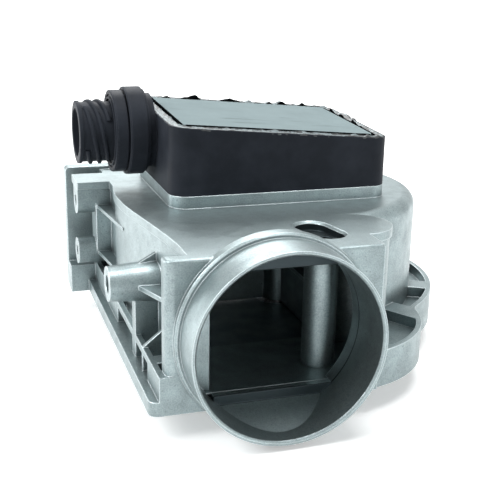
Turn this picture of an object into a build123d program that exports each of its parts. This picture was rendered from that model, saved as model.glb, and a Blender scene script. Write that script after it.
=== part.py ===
from build123d import *
import os
from math import cos, pi, radians, sin

os.makedirs("parts", exist_ok=True)

# Vane-type air flow sensor, in millimetres.
# Origin: centre of the outlet pipe's mouth. Air leaves toward -Y, Z is up.

# Outlet pipe
bore_r = 31.0
pipe_wall = 1.5
pipe_r = bore_r + pipe_wall
bead_r = 34.2
bead_y = 14.6
front_y = 17.0
bore_depth = 25.0
pipe_end_wall = 3.0
hood_y = 19.0
hood_depth = 16.0
bead_chamfer = 0.7
lip_chamfer = 0.7
ramp_y = 6.5
sill_y = 19.5
sill_drop = 3.3

# Heights of the casting
top_z = 27.0
deck_t = 5.0
ceiling_z = top_z - deck_t
base_z = -25.5
base_t = 5.0
foot_z = base_z + base_t
shelf_z = -12.0
floor_z = -22.0
rim_h = 3.3
rim_step = 0.8
wall_t = 3.0

# Flap shaft and damping chamber
shaft_x = 33.0
shaft_y = 106.0
shaft_r = 3.0
drum_r = 54.8
drum_edge_r = 5.0
drum_wall = 3.5
chamber_r = drum_r - drum_wall
drum_rear_y = 141.5
divider_t = 3.5

# Channel
side_x = 38.0
lobe_x = 38.6
lobe_y = 42.7
lobe_r = 13.0
exit_left_x = -20.0
channel_rim = [(-34.5, 119.0), (-36.4, 102.0), (-34.2, 76.0), (-30.8, 53.0), (-28.5, 31.0)]

# Front plate
plate_left_x = -36.5
plate_t = 6.0
plate_corner_r = 3.0
plate_edge_r = 1.2

# Base flange and ribbed skirt
base_left_x = -41.9
skirt_left_x = -38.8
skirt_t = 2.0
skirt_reach = 9.2
nose_x = 30.0
nose_y = 58.0
nose_r = 40.6
waist_r = 8.0
foot_corner_r = 3.0
skirt_rear_y = 146.0
window_z = -14.4
pocket_z = -16.3
left_rib_y = (32.0, 43.5, 58.0, 92.0)
left_rib_t = (6.0, 1.6, 6.0, 4.0)
left_rib_reach = 12.0
gusset_top_z = -3.0
drum_ribs = ((-58.7, 9.0), (-27.8, 8.5), (4.0, 2.0))

# Inlet flange
flange_y = 151.0
flange_t = 6.0
flange_half_w = 49.5
flange_low_z = -26.0
flange_high_z = 28.5
flange_corner_r = 1.8
inlet_bolt_x = 43.5
inlet_bolt_z = 19.5
inlet_thread_r = 2.5
inlet_block_w = 12.0
inlet_boss_len = 8.0

# Plinth under the electronics
plinth_left_x = -20.2
plinth_right_x = 67.2
plinth_front_y = 76.0
plinth_rear_y = 140.5
plinth_z = 31.7
plinth_corner_r = 7.0
plinth_wall = 2.0
plinth_x = (plinth_left_x + plinth_right_x) / 2
plinth_y = (plinth_front_y + plinth_rear_y) / 2
plinth_w = plinth_right_x - plinth_left_x
plinth_d = plinth_rear_y - plinth_front_y

# Bypass well under the oval hole
well_x = 23.2
well_y = 38.8
well_length = 10.6
well_r = 5.8
well_angle = 101.6
well_depth = 3.3
well_chamfer = 0.8
column_x = 23.8
column_y = 37.3
column_r = 6.0
column_bore_r = 4.3
column_floor_z = 8.0
mixture_head_r = 3.9
mixture_head_h = 3.0
mixture_thread_l = 12.0

# Threaded side bosses
small_boss_y = 135.0
small_boss_r = 5.6
small_boss_end_x = -47.6
small_boss_z = (18.0, -4.0)
small_thread_r = 2.5
small_thread_depth = 12.0
boss_web_x = -40.0
thin_web_t = 1.2
thin_web_y = 93.0
thin_web_drop = 2.0
big_boss_y = 57.5
big_boss_z = 7.0
big_boss_r = 7.6
big_boss_taper = 4.0
big_boss_end_x = -48.0
big_thread_r = 3.4
big_thread_depth = 12.0
big_web_t = 5.0
side_web_t = 1.6
side_web_x = -38.2
top_web_x = -37.4
top_web_z = 19.1
wing_front_y = 127.5
wing_rear_y = 144.0
wing_left_x = -47.8
wing_t = 3.0

# Bearings and their seats
bearing_r = 9.5
bearing_t = 6.0
bearing_fit = 0.02
shaft_fit = 0.02
seat_lip = 1.5
seat_wall = 2.2
seat_top_z = ceiling_z + seat_lip + bearing_t
cup_bottom_z = floor_z - bearing_t - seat_lip
seat_hole_r = 5.0
race_t = 1.9
shield_depth = 0.4

# Fits and gaps, and a length greater than the whole part
beyond = 400.0
hole_spare = 2.0
flap_gap = 0.5
end_gap = 0.4
seat_gap = 0.15
thread_gap = 0.05
screw_gap = 0.2
running_gap = 0.3

# Flap
flap_t = 2.2
flap_open_angle = 72.0
hub_r = 7.0
tip_gap = 1.0
flap_reach = shaft_x - channel_rim[1][0] - rim_step - wall_t - tip_gap
vane_reach = chamber_r - flap_gap
flap_tip_r = 2.0
flap_rib_t = 1.6
flap_rib_h = 4.0
flap_rib_z = 7.0
hub_pin_r = 1.0

# Bottom cover
cover_t = 3.0
cover_lap = 2.5

# Buffers
buffer_r = 3.0
buffer_pin_r = 1.5
buffer_h = 11.0
open_buffer_reach = 38.0
buffer_inset = 7.6
closed_buffer_reach = flap_reach - buffer_inset
buffer_gap = 0.3

# Tension wheel, spring and clip
wheel_r = 25.2
wheel_tooth = 1.2
wheel_teeth = 60
wheel_ring_t = 3.0
wheel_floor_t = 1.5
wheel_h = 6.5
wheel_skirt_t = 2.0
wheel_gap = 0.2
wheel_hole_r = 5.0
post_r = 1.5
post_sink = 0.6
post_angle = -100.0
spring_turns = 4
spring_strip_t = 0.5
spring_h = 3.6
collet_r = 5.5
collet_h = 5.0
clip_t = 0.8
clip_w = 6.0
clip_x = -1.0
clip_z = 33.0
clip_screw_l = 6.0

# Resistor board and wiper
board_z = 38.6
board_t = 1.0
board_left_x = -14.0
board_right_x = 12.0
board_gap = 3.45
board_screw_l = 7.0
board_pillar_x = -9.0
board_pillar_pitch = 26.0
pillar_r = 3.2
screw_r = 1.25
screw_head_r = 2.7
screw_head_h = 1.9
screw_slot = 0.8
wiper_hub_r = 6.5
wiper_hub_z = 38.0
wiper_hub_h = 5.4
wiper_rest_angle = 144.0
wiper_reach = 31.0
wiper_gap = 0.3
arm_t = 0.5
weight_reach = 15.0
weight_size = 7.0
ring_t = 0.6
shaft_top_z = 45.4
pickup_t = 0.4
pickup_w = 4.0
pickup_x = -2.0
groove_depth = 0.4
wiper_neck_r = 5.0
weight_h = 4.0

# Electronics housing and its lid
frame_wall = 3.8
board_w = plinth_d - 2 * frame_wall - 2 * board_gap
rim_wall = 1.5
frame_top_z = 57.1
frame_top_x = -14.4
frame_top_y = 77.0
frame_fall_x = 0.083
frame_rise_y = 0.045
tongue_gap = 0.1
tongue_h = 3.0
lid_depth = 2.2
lid_t = 1.6
lid_ledge = 3.0
lid_ledge_t = 2.0
lid_gap = 0.9
sealant_w = 2.1
sealant_depth = 0.2
lug_inset = 7.5
lug_r = 3.6
lug_top_z = 35.0
frame_screw_l = 9.0

# Plug connector
plug_y = 115.0
plug_z = 50.2
barrel_r = 11.6
barrel_bore_r = 9.4
barrel_tip_x = -49.2
barrel_floor_x = -33.0
collar_one_x = (-35.4, -31.3)
collar_one_r = 16.0
collar_two_x = (-30.2, -24.0)
collar_two_r = 17.2
neck_r = 14.5
pin_r = 0.8
pin_ring_r = 4.2
pin_count = 5
pin_tip_x = -44.0
lead_x = -13.0
lead_t = 0.5
lead_w = 1.2

# Air temperature sensor
probe_x = 0.0
probe_y = 128.0
probe_flange_r = 6.0
probe_flange_t = 1.6
probe_r = 4.3
probe_tip_z = 8.0
probe_bead_r = 1.8
probe_neck_z = 14.0


def place(radius, angle):
    """A point at a radius and angle round the flap shaft."""
    a = radians(angle)
    return (shaft_x + radius * cos(a), shaft_y + radius * sin(a))


def left_wall(inset):
    """Points of the swept left wall of the channel, moved in from the rim."""
    return [(x + inset, y) for x, y in channel_rim]


def channel_plan(inset, mode=Mode.ADD):
    """Plan of the channel part of the body, in the open sketch."""
    wall = left_wall(inset)
    head = wall[0]
    tail = wall[-1]
    with BuildLine() as outline:
        Spline(*wall)
        Polyline(
            tail,
            (tail[0], front_y + plate_edge_r),
            (side_x - inset, front_y + plate_edge_r),
            (side_x - inset, flange_y),
            (head[0], flange_y),
            head,
        )
    make_face(outline.edges(), mode=mode)
    with Locations((lobe_x, lobe_y)):
        Circle(lobe_r - inset, mode=mode)


def skirt_plan(left_x, inset):
    """Plan of the skirt round the foot of the casting, in the open sketch."""
    low = (left_x + inset, front_y + inset)
    high = (side_x, skirt_rear_y - inset)
    with Locations(((low[0] + high[0]) / 2, (low[1] + high[1]) / 2)):
        Rectangle(high[0] - low[0], high[1] - low[1])
    with Locations((nose_x, nose_y)):
        Circle(nose_r - inset)
    with Locations((shaft_x, shaft_y)):
        Circle(drum_r + skirt_reach - inset)
    with Locations((shaft_x, low[1])):
        Rectangle(beyond, beyond, align=(Align.CENTER, Align.MAX), mode=Mode.SUBTRACT)
    with Locations((shaft_x, high[1])):
        Rectangle(beyond, beyond, align=(Align.CENTER, Align.MIN), mode=Mode.SUBTRACT)
    waist = vertices().sort_by_distance((nose_x + nose_r, shaft_y - drum_r))[0]
    fillet(waist, waist_r + inset)


def cavity_plan(gap):
    """Plan of the air channel and damping chamber, drawn in by a gap."""
    wall = left_wall(rim_step + wall_t + gap)
    head = wall[0]
    tail = wall[-1]
    right_x = side_x - wall_t - gap
    with BuildLine() as outline:
        Spline(*wall)
        Polyline(
            tail,
            (exit_left_x + gap, bore_depth + gap),
            (bore_r - gap, bore_depth + gap),
            (right_x, bore_depth + wall_t),
            (right_x, lobe_y),
            (shaft_x - gap, shaft_y - chamber_r),
            (shaft_x - gap, head[1]),
            head,
        )
    make_face(outline.edges())
    with Locations((lobe_x, lobe_y)):
        Circle(lobe_r - wall_t - gap)
    with BuildSketch(mode=Mode.PRIVATE) as chamber:
        with Locations((shaft_x, shaft_y)):
            Circle(chamber_r - gap)
        with Locations((shaft_x, shaft_y)):
            Rectangle(beyond, beyond, align=(Align.MAX, Align.CENTER), mode=Mode.SUBTRACT)
        with Locations((shaft_x, shaft_y + hub_r + flap_gap + gap)):
            Rectangle(
                2 * divider_t + 2 * gap,
                beyond,
                align=(Align.CENTER, Align.MIN),
                mode=Mode.SUBTRACT,
            )
        with Locations((shaft_x, drum_rear_y - drum_wall - gap)):
            Rectangle(beyond, beyond, align=(Align.CENTER, Align.MIN), mode=Mode.SUBTRACT)
    add(chamber.sketch)
    with Locations((shaft_x, shaft_y)):
        Circle(hub_r + flap_gap - gap)


def frame_plane(depth):
    """The sloping top of the electronics housing, lowered by a depth."""
    slope = Vector(frame_fall_x, -frame_rise_y, 1)
    return Plane(origin=(frame_top_x, frame_top_y, frame_top_z - depth), z_dir=slope)


def frame_plan(inset, mode=Mode.ADD):
    """Rounded outline of the electronics housing, drawn in by an inset."""
    corner = max(plinth_corner_r - inset, 1.5)
    with Locations((plinth_x, plinth_y)):
        RectangleRounded(plinth_w - 2 * inset, plinth_d - 2 * inset, corner, mode=mode)


def sloped_slab(outer, inner, high, low):
    """Ring between two insets of the frame, or a plate, between two depths."""
    with BuildPart() as slab:
        with BuildSketch(Plane.XY.offset(plinth_z)):
            frame_plan(outer)
            if inner:
                frame_plan(inner, mode=Mode.SUBTRACT)
        extrude(amount=2 * (frame_top_z - plinth_z))
        with BuildSketch(frame_plane(high)):
            Rectangle(beyond, beyond)
        extrude(amount=beyond, mode=Mode.SUBTRACT)
        with BuildSketch(frame_plane(low)):
            Rectangle(beyond, beyond)
        extrude(amount=-beyond, mode=Mode.SUBTRACT)
    return slab.part


def screw(centres, seat, length):
    """Slotted pan-head screws standing on a height, with plain shanks below."""
    with BuildPart() as screws:
        with BuildSketch(Plane.XY.offset(seat)):
            with Locations(*centres):
                Circle(screw_head_r)
        extrude(amount=screw_head_h)
        with BuildSketch(Plane.XY.offset(seat + screw_head_h)):
            with Locations(*centres):
                Rectangle(2 * screw_head_r, screw_slot)
        extrude(amount=-screw_slot, mode=Mode.SUBTRACT)
        with BuildSketch(Plane.XY.offset(seat)):
            with Locations(*centres):
                Circle(screw_r - thread_gap)
        extrude(amount=-length)
    return screws.part


lug_centres = [
    (x, y)
    for x in (plinth_left_x + lug_inset, plinth_right_x - lug_inset)
    for y in (plinth_front_y + lug_inset, plinth_rear_y - lug_inset)
]
board_y = shaft_y
pillar_ys = (board_y - board_pillar_pitch / 2, board_y + board_pillar_pitch / 2)
half_width = flap_t / 2 + buffer_r + buffer_gap
open_buffer_angle = -90.0 + flap_open_angle + half_width / open_buffer_reach * 180 / pi
open_buffer = place(open_buffer_reach, open_buffer_angle)
closed_buffer = (shaft_x - closed_buffer_reach, shaft_y + half_width)


# Main housing: one die casting

with BuildPart() as main_housing:
    # Drum of the damping chamber, with its rounded top edge
    with BuildSketch(Plane.XY.offset(foot_z)):
        with Locations((shaft_x, shaft_y)):
            Circle(drum_r)
    extrude(amount=top_z - foot_z)
    fillet(main_housing.edges().group_by(Axis.Z)[-1], drum_edge_r)
    with BuildSketch(Plane.XY.offset(foot_z)):
        with Locations((shaft_x, drum_rear_y)):
            Rectangle(beyond, beyond, align=(Align.CENTER, Align.MIN))
    extrude(amount=top_z - foot_z, mode=Mode.SUBTRACT)

    # Front plate, rounded at its left corner and along its top
    with BuildSketch(Plane.XY.offset(foot_z)):
        with Locations((plate_left_x, front_y)):
            Rectangle(side_x - plate_left_x, plate_t, align=Align.MIN)
        fillet(vertices().sort_by_distance((plate_left_x, front_y))[0], plate_corner_r)
    extrude(amount=top_z - foot_z)
    plate_edges = main_housing.edges().filter_by_position(Axis.Y, front_y, front_y + plate_t)
    fillet(plate_edges.group_by(Axis.Z)[-1], plate_edge_r)

    # Channel body, stepped in under its rim
    with BuildSketch(Plane.XY.offset(foot_z)):
        channel_plan(rim_step)
    extrude(amount=top_z - foot_z)
    with BuildSketch(Plane.XY.offset(top_z - rim_h)):
        channel_plan(0)
    extrude(amount=rim_h)

    # Base flange
    with BuildSketch(Plane.XY.offset(base_z)):
        skirt_plan(base_left_x, 0)
        with Locations((base_left_x, skirt_rear_y - 1)):
            Rectangle(side_x - base_left_x, flange_y - skirt_rear_y + 1, align=Align.MIN)
    extrude(amount=base_t)
    corners = main_housing.edges().filter_by(Axis.Z)
    fillet(corners.sort_by_distance((base_left_x, front_y, base_z))[0], foot_corner_r)

    # Skirt above it, hollowed into pockets between ribs
    with BuildSketch(Plane.XY.offset(foot_z)):
        skirt_plan(skirt_left_x, 0)
    extrude(amount=shelf_z - foot_z)
    with BuildSketch(Plane.XY.offset(foot_z)):
        skirt_plan(skirt_left_x, skirt_t)
        with Locations((shaft_x, shaft_y)):
            Circle(drum_r, mode=Mode.SUBTRACT)
        channel_plan(rim_step, mode=Mode.SUBTRACT)
        with Locations((skirt_left_x, front_y)):
            Rectangle(beyond, plate_t, align=Align.MIN, mode=Mode.SUBTRACT)
        for rib_y, thickness in zip(left_rib_y, left_rib_t):
            with Locations((skirt_left_x, rib_y)):
                Rectangle(
                    left_rib_reach,
                    thickness,
                    align=(Align.MIN, Align.CENTER),
                    mode=Mode.SUBTRACT,
                )
        for angle, thickness in drum_ribs:
            with Locations(Location((shaft_x, shaft_y, 0), (0, 0, angle))):
                Rectangle(
                    beyond,
                    thickness,
                    align=(Align.MIN, Align.CENTER),
                    mode=Mode.SUBTRACT,
                )
    extrude(amount=shelf_z - foot_z, mode=Mode.SUBTRACT)
    with BuildSketch(Plane.XY.offset(foot_z)):
        skirt_plan(skirt_left_x, 0)
        with Locations((shaft_x, shaft_y)):
            Rectangle(beyond, beyond, align=(Align.MAX, Align.CENTER), mode=Mode.SUBTRACT)
    extrude(amount=pocket_z - foot_z)

    # Windows in the left side of the skirt, under its top rail
    with BuildSketch(Plane.YZ.offset(skirt_left_x)):
        bays = [y + t / 2 for y, t in zip(left_rib_y, left_rib_t)]
        ends = [y - t / 2 for y, t in zip(left_rib_y[1:], left_rib_t[1:])]
        for start, end in zip(bays, ends):
            with Locations((start, foot_z)):
                Rectangle(end - start, window_z - foot_z, align=Align.MIN)
    extrude(amount=skirt_t, mode=Mode.SUBTRACT)

    # Gusset on the thin rib of that side
    with BuildSketch(Plane.XZ.offset(-left_rib_y[1])):
        with BuildLine():
            Polyline(
                (skirt_left_x, shelf_z),
                (channel_rim[3][0] + wall_t, shelf_z),
                (channel_rim[3][0] + wall_t, gusset_top_z),
                close=True,
            )
        make_face()
    extrude(amount=left_rib_t[1] / 2, both=True)

    # Inlet flange, with blocks behind its lower bolts
    with BuildSketch(Plane.XZ.offset(-flange_y)):
        with Locations((0, (flange_low_z + flange_high_z) / 2)):
            RectangleRounded(2 * flange_half_w, flange_high_z - flange_low_z, flange_corner_r)
    extrude(amount=-flange_t)
    with BuildSketch(Plane.XZ.offset(-flange_y)):
        with Locations((-inlet_bolt_x, -inlet_bolt_z), (inlet_bolt_x, -inlet_bolt_z)):
            Rectangle(inlet_block_w, inlet_block_w)
    extrude(amount=inlet_boss_len)

    # Wing and small threaded bosses on the left side
    side_root_x = channel_rim[0][0] + wall_t
    with BuildSketch(Plane.XY.offset(top_z - wing_t)):
        with Locations((wing_left_x, wing_front_y)):
            Rectangle(side_root_x - wing_left_x, wing_rear_y - wing_front_y, align=Align.MIN)
    extrude(amount=wing_t)
    with BuildSketch(Plane.YZ.offset(small_boss_end_x)):
        with Locations(*[(small_boss_y, z) for z in small_boss_z]):
            Circle(small_boss_r)
        with Locations((small_boss_y, small_boss_z[0])):
            upright = (Align.CENTER, Align.MIN)
            Rectangle(2 * small_boss_r, top_z - wing_t - small_boss_z[0], align=upright)
    extrude(amount=side_root_x - small_boss_end_x)
    with BuildSketch(Plane.YZ.offset(boss_web_x)):
        with Locations((small_boss_y, small_boss_z[1])):
            Rectangle(2 * small_boss_r, small_boss_z[0] - small_boss_z[1], align=upright)
    extrude(amount=side_root_x - boss_web_x)
    for web_z in (small_boss_z[0] - thin_web_drop, small_boss_z[1]):
        with BuildSketch(Plane.XY.offset(web_z)):
            with BuildLine():
                Polyline(
                    (boss_web_x, small_boss_y),
                    (channel_rim[1][0] + rim_step, thin_web_y),
                    (side_root_x, small_boss_y),
                    close=True,
                )
            make_face()
        extrude(amount=thin_web_t / 2, both=True)

    # Big tapered boss, with a web below, above and in front of it
    big_root_x = channel_rim[3][0] + wall_t
    with BuildSketch(Plane(origin=(big_root_x, big_boss_y, big_boss_z), z_dir=(-1, 0, 0))):
        Circle(big_boss_r)
    extrude(amount=big_root_x - big_boss_end_x, taper=big_boss_taper)
    with BuildSketch(Plane.YZ.offset(skirt_left_x)):
        with Locations((big_boss_y, shelf_z)):
            Rectangle(big_web_t, big_boss_z - shelf_z, align=upright)
    extrude(amount=big_root_x - skirt_left_x)
    with BuildSketch(Plane.XZ.offset(-big_boss_y)):
        with BuildLine():
            Polyline(
                (top_web_x, big_boss_z),
                (top_web_x, big_boss_z + big_boss_r - side_web_t / 2),
                (big_root_x, top_web_z),
                (big_root_x, big_boss_z),
                close=True,
            )
        make_face()
    extrude(amount=side_web_t / 2, both=True)
    with BuildSketch(Plane.XY.offset(big_boss_z)):
        with BuildLine():
            Polyline(
                (side_web_x, big_boss_y),
                (side_web_x, big_boss_y - big_boss_r + side_web_t / 2),
                (channel_rim[4][0], front_y + plate_t),
                (big_root_x, big_boss_y),
                close=True,
            )
        make_face()
    extrude(amount=side_web_t / 2, both=True)

    # Plinth and the pillars inside it
    with BuildSketch(Plane.XY.offset(top_z)):
        frame_plan(0)
        frame_plan(plinth_wall, mode=Mode.SUBTRACT)
    extrude(amount=plinth_z - top_z)
    with BuildSketch(Plane.XY.offset(top_z)):
        with Locations(*lug_centres):
            Circle(lug_r)
    extrude(amount=plinth_z - tongue_h - top_z)
    with BuildSketch(Plane.XY.offset(top_z)):
        with Locations((board_pillar_x, pillar_ys[0]), (board_pillar_x, pillar_ys[1])):
            Circle(pillar_r)
    extrude(amount=board_z - top_z)
    with BuildSketch(Plane.XY.offset(top_z)):
        with Locations((clip_x, shaft_y)):
            Circle(pillar_r)
    extrude(amount=clip_z - top_z)
    with BuildSketch(Plane.XY.offset(top_z)):
        with Locations((shaft_x, shaft_y)):
            Circle(bearing_r + seat_wall)
    extrude(amount=seat_top_z - top_z)

    # Outlet pipe, which ends sooner above the deck, and its bead
    with BuildSketch(Plane.XZ):
        Circle(pipe_r)
    extrude(amount=-hood_y)
    with BuildSketch(Plane.XZ):
        Circle(pipe_r)
        with Locations((0, top_z)):
            Rectangle(beyond, beyond, align=upright, mode=Mode.SUBTRACT)
    extrude(amount=-bore_depth - pipe_end_wall)
    with BuildSketch(Plane.XZ.offset(-bead_y)):
        Circle(bead_r)
    extrude(amount=bead_y - hood_y)
    bead_edges = main_housing.edges().filter_by(GeomType.CIRCLE)
    bead_edges = bead_edges.filter_by_position(Axis.Y, bead_y, bead_y)
    chamfer(bead_edges.sort_by(SortBy.RADIUS)[-1], bead_chamfer)

    # Channel and chamber, open below for the bottom cover
    with BuildSketch(Plane.XY.offset(base_z)):
        cavity_plan(0)
    extrude(amount=ceiling_z - base_z, mode=Mode.SUBTRACT)
    with BuildSketch(Plane.XY.offset(base_z)):
        cavity_plan(-cover_lap)
    extrude(amount=floor_z - base_z, mode=Mode.SUBTRACT)
    with BuildSketch(Plane.XZ.offset(-flange_y - flange_t)):
        with Locations((left_wall(rim_step + wall_t)[0][0], floor_z)):
            opening_w = shaft_x - left_wall(rim_step + wall_t)[0][0]
            Rectangle(opening_w, ceiling_z - floor_z, align=Align.MIN)
    extrude(amount=flange_y + flange_t - channel_rim[0][1], mode=Mode.SUBTRACT)
    with BuildSketch(Plane.XZ):
        Circle(bore_r)
    extrude(amount=-hood_depth, mode=Mode.SUBTRACT)
    mouth_edges = main_housing.edges().filter_by(GeomType.CIRCLE)
    mouth_edges = mouth_edges.filter_by_position(Axis.Y, 0, 0)
    chamfer(mouth_edges.group_by(SortBy.RADIUS)[0], lip_chamfer)
    with BuildSketch(Plane.XZ.offset(-lip_chamfer)):
        Circle(bore_r)
        with Locations((0, ceiling_z)):
            Rectangle(beyond, beyond, align=upright, mode=Mode.SUBTRACT)
    extrude(amount=lip_chamfer - bore_depth, mode=Mode.SUBTRACT)

    # Sill and ramp between the round bore and the channel floor
    with BuildSketch(Plane.YZ.offset(exit_left_x)):
        with BuildLine():
            Polyline(
                (ramp_y, -bore_r),
                (ramp_y, -pipe_r + 0.2),
                (bore_depth, -pipe_r + 0.2),
                (bore_depth, floor_z),
                (sill_y, floor_z),
                (sill_y, floor_z - sill_drop),
                close=True,
            )
        make_face()
    ramp = extrude(amount=bore_r - exit_left_x, mode=Mode.PRIVATE)
    with BuildSketch(Plane.XZ):
        Circle(bore_r + 0.1)
    ramp_limit = extrude(amount=-bore_depth, mode=Mode.PRIVATE)
    add(ramp & ramp_limit)
    with BuildSketch(Plane.XY.offset(floor_z - cover_t)):
        cavity_plan(-cover_lap)
    extrude(amount=cover_t, mode=Mode.SUBTRACT)

    # Column of the bypass well, and the oval hole above it
    with BuildSketch(Plane.XY.offset(floor_z)):
        with Locations((column_x, column_y)):
            Circle(column_r)
    extrude(amount=ceiling_z - floor_z)
    with BuildSketch(Plane.XY.offset(top_z)):
        with Locations((column_x, column_y)):
            Circle(column_bore_r)
    extrude(amount=column_floor_z - top_z, mode=Mode.SUBTRACT)
    with BuildSketch(Plane.XY.offset(top_z)):
        with Locations((well_x, well_y)):
            SlotCenterToCenter(well_length, 2 * well_r, rotation=well_angle)
    extrude(amount=-well_depth, mode=Mode.SUBTRACT)
    well_edges = main_housing.edges().filter_by_position(Axis.Z, top_z, top_z)
    chamfer(well_edges.sort_by_distance((well_x, well_y, top_z))[:4], well_chamfer)

    # Seats, screw holes and threads
    with Locations((shaft_x, shaft_y, seat_top_z)):
        CounterBoreHole(seat_hole_r, bearing_r + bearing_fit, bearing_t, seat_top_z - ceiling_z)
    with Locations((probe_x, probe_y, top_z)):
        Hole(probe_r + seat_gap, deck_t)
    lug_seat_z = plinth_z - tongue_h
    with Locations(*[(x, y, lug_seat_z) for x, y in lug_centres]):
        Hole(screw_r, frame_screw_l - (lug_top_z - lug_seat_z) + hole_spare)
    with Locations(*[(board_pillar_x, y, board_z) for y in pillar_ys]):
        Hole(screw_r, board_screw_l - board_t + hole_spare)
    with Locations((clip_x, shaft_y, clip_z)):
        Hole(screw_r, clip_screw_l - clip_t + hole_spare)
    with Locations((column_x, column_y, column_floor_z)):
        Hole(small_thread_r, mixture_thread_l + hole_spare)
    with Locations(*[Location((small_boss_end_x, small_boss_y, z), (0, -90, 0)) for z in small_boss_z]):
        Hole(small_thread_r, small_thread_depth)
    with Locations(Location((big_boss_end_x, big_boss_y, big_boss_z), (0, -90, 0))):
        Hole(big_thread_r, big_thread_depth)
    rear_y = flange_y + flange_t
    corners = [(sx * inlet_bolt_x, sz * inlet_bolt_z) for sx in (-1, 1) for sz in (-1, 1)]
    with Locations(*[Location((x, rear_y, z), (-90, 0, 0)) for x, z in corners]):
        Hole(inlet_thread_r, small_thread_depth)

    # Pins that carry the rubber buffers
    with BuildSketch(Plane.XY.offset(ceiling_z)):
        with Locations(open_buffer, closed_buffer):
            Circle(buffer_pin_r)
    extrude(amount=-buffer_h)

main_housing.part.label = "main_housing"
export_step(main_housing.part, "parts/main_housing.step")


# Bottom cover, with the cup of the lower bearing

with BuildPart() as bottom_cover:
    with BuildSketch(Plane.XY.offset(floor_z)):
        cavity_plan(-cover_lap + seat_gap)
    extrude(amount=-cover_t)
    with BuildSketch(Plane.XY.offset(floor_z - cover_t)):
        with Locations((shaft_x, shaft_y)):
            Circle(bearing_r + seat_wall)
    extrude(amount=cup_bottom_z - floor_z + cover_t)
    with Locations((shaft_x, shaft_y, floor_z)):
        Hole(bearing_r + bearing_fit, bearing_t)

bottom_cover.part.label = "bottom_cover"
export_step(bottom_cover.part, "parts/bottom_cover.step")


# Ball bearings, each built as one ring with its shield grooves

def bearing(low_z):
    """Ring of a sealed ball bearing, standing on low_z."""
    with BuildPart() as ring:
        with BuildSketch(Plane.XY.offset(low_z)):
            with Locations((shaft_x, shaft_y)):
                Circle(bearing_r)
                Circle(shaft_r + shaft_fit, mode=Mode.SUBTRACT)
        extrude(amount=bearing_t)
        for face_z, depth in ((low_z, shield_depth), (low_z + bearing_t, -shield_depth)):
            with BuildSketch(Plane.XY.offset(face_z)):
                with Locations((shaft_x, shaft_y)):
                    Circle(bearing_r - race_t)
                    Circle(shaft_r + race_t, mode=Mode.SUBTRACT)
            extrude(amount=depth, mode=Mode.SUBTRACT)
    return ring.part


upper_bearing = bearing(ceiling_z + seat_lip)
upper_bearing.label = "upper_bearing"
export_step(upper_bearing, "parts/upper_bearing.step")

lower_bearing = bearing(floor_z - bearing_t)
lower_bearing.label = "lower_bearing"
export_step(lower_bearing, "parts/lower_bearing.step")


# Measuring flap and damping vane, one casting on the hub

flap_low_z = floor_z + end_gap
flap_h = ceiling_z - floor_z - 2 * end_gap

with BuildPart() as sensor_flap:
    with BuildSketch(Plane.XZ.offset(-shaft_y)):
        with Locations((shaft_x - flap_reach, flap_low_z)):
            Rectangle(flap_reach, flap_h, align=Align.MIN)
    extrude(amount=flap_t / 2, both=True)
    fillet(sensor_flap.edges().filter_by(Axis.Y).group_by(Axis.X)[0], flap_tip_r)
    with BuildSketch(Plane.XZ.offset(-shaft_y)):
        with Locations((shaft_x - flap_reach, flap_rib_z), (shaft_x - flap_reach, -flap_rib_z)):
            Rectangle(flap_reach, flap_rib_t, align=(Align.MIN, Align.CENTER))
    extrude(amount=-flap_t / 2 - flap_rib_h)
    chamfer(
        sensor_flap.edges().filter_by(Axis.Z).group_by(Axis.Y)[-1].sort_by(Axis.X)[:2],
        flap_rib_h - 0.5,
    )
    with BuildSketch(Plane.YZ.offset(shaft_x)):
        with Locations((shaft_y - vane_reach, flap_low_z)):
            Rectangle(vane_reach, flap_h, align=Align.MIN)
    extrude(amount=flap_t / 2, both=True)
    with BuildSketch(Plane.YZ.offset(shaft_x)):
        with Locations((shaft_y - vane_reach + flap_rib_h, 0)):
            Rectangle(vane_reach - flap_rib_h, flap_rib_t, align=(Align.MIN, Align.CENTER))
    extrude(amount=-flap_t / 2 - flap_rib_h)
    with BuildSketch(Plane.XY.offset(flap_low_z)):
        with Locations((shaft_x, shaft_y)):
            Circle(hub_r)
    extrude(amount=flap_h)
    with Locations((shaft_x, shaft_y, flap_low_z + flap_h)):
        Hole(shaft_r + shaft_fit, flap_h)
    with BuildSketch(Plane(origin=(shaft_x, shaft_y, 0), z_dir=(1, 1, 0))):
        Circle(hub_pin_r + shaft_fit)
    extrude(amount=hub_r + 1, both=True, mode=Mode.SUBTRACT)

sensor_flap.part.label = "sensor_flap"
export_step(sensor_flap.part, "parts/sensor_flap.step")


# Shaft, with a groove for the retaining ring and a cross hole for the pin

wiper_top_z = wiper_hub_z + wiper_hub_h

with BuildPart() as flap_shaft:
    with BuildSketch(Plane.XY.offset(floor_z - bearing_t + 0.5)):
        with Locations((shaft_x, shaft_y)):
            Circle(shaft_r)
    extrude(amount=shaft_top_z - floor_z + bearing_t - 0.5)
    chamfer(flap_shaft.edges().group_by(Axis.Z)[-1], 0.4)
    with BuildSketch(Plane.XY.offset(wiper_top_z)):
        with Locations((shaft_x, shaft_y)):
            Circle(shaft_r + 1)
            Circle(shaft_r - groove_depth, mode=Mode.SUBTRACT)
    extrude(amount=ring_t, mode=Mode.SUBTRACT)
    with BuildSketch(Plane(origin=(shaft_x, shaft_y, 0), z_dir=(1, 1, 0))):
        Circle(hub_pin_r + shaft_fit)
    extrude(amount=hub_r + 1, both=True, mode=Mode.SUBTRACT)

flap_shaft.part.label = "flap_shaft"
export_step(flap_shaft.part, "parts/flap_shaft.step")

with BuildPart() as hub_pin:
    with BuildSketch(Plane(origin=(shaft_x, shaft_y, 0), z_dir=(1, 1, 0))):
        Circle(hub_pin_r)
    extrude(amount=hub_r - 0.3, both=True)

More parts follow.
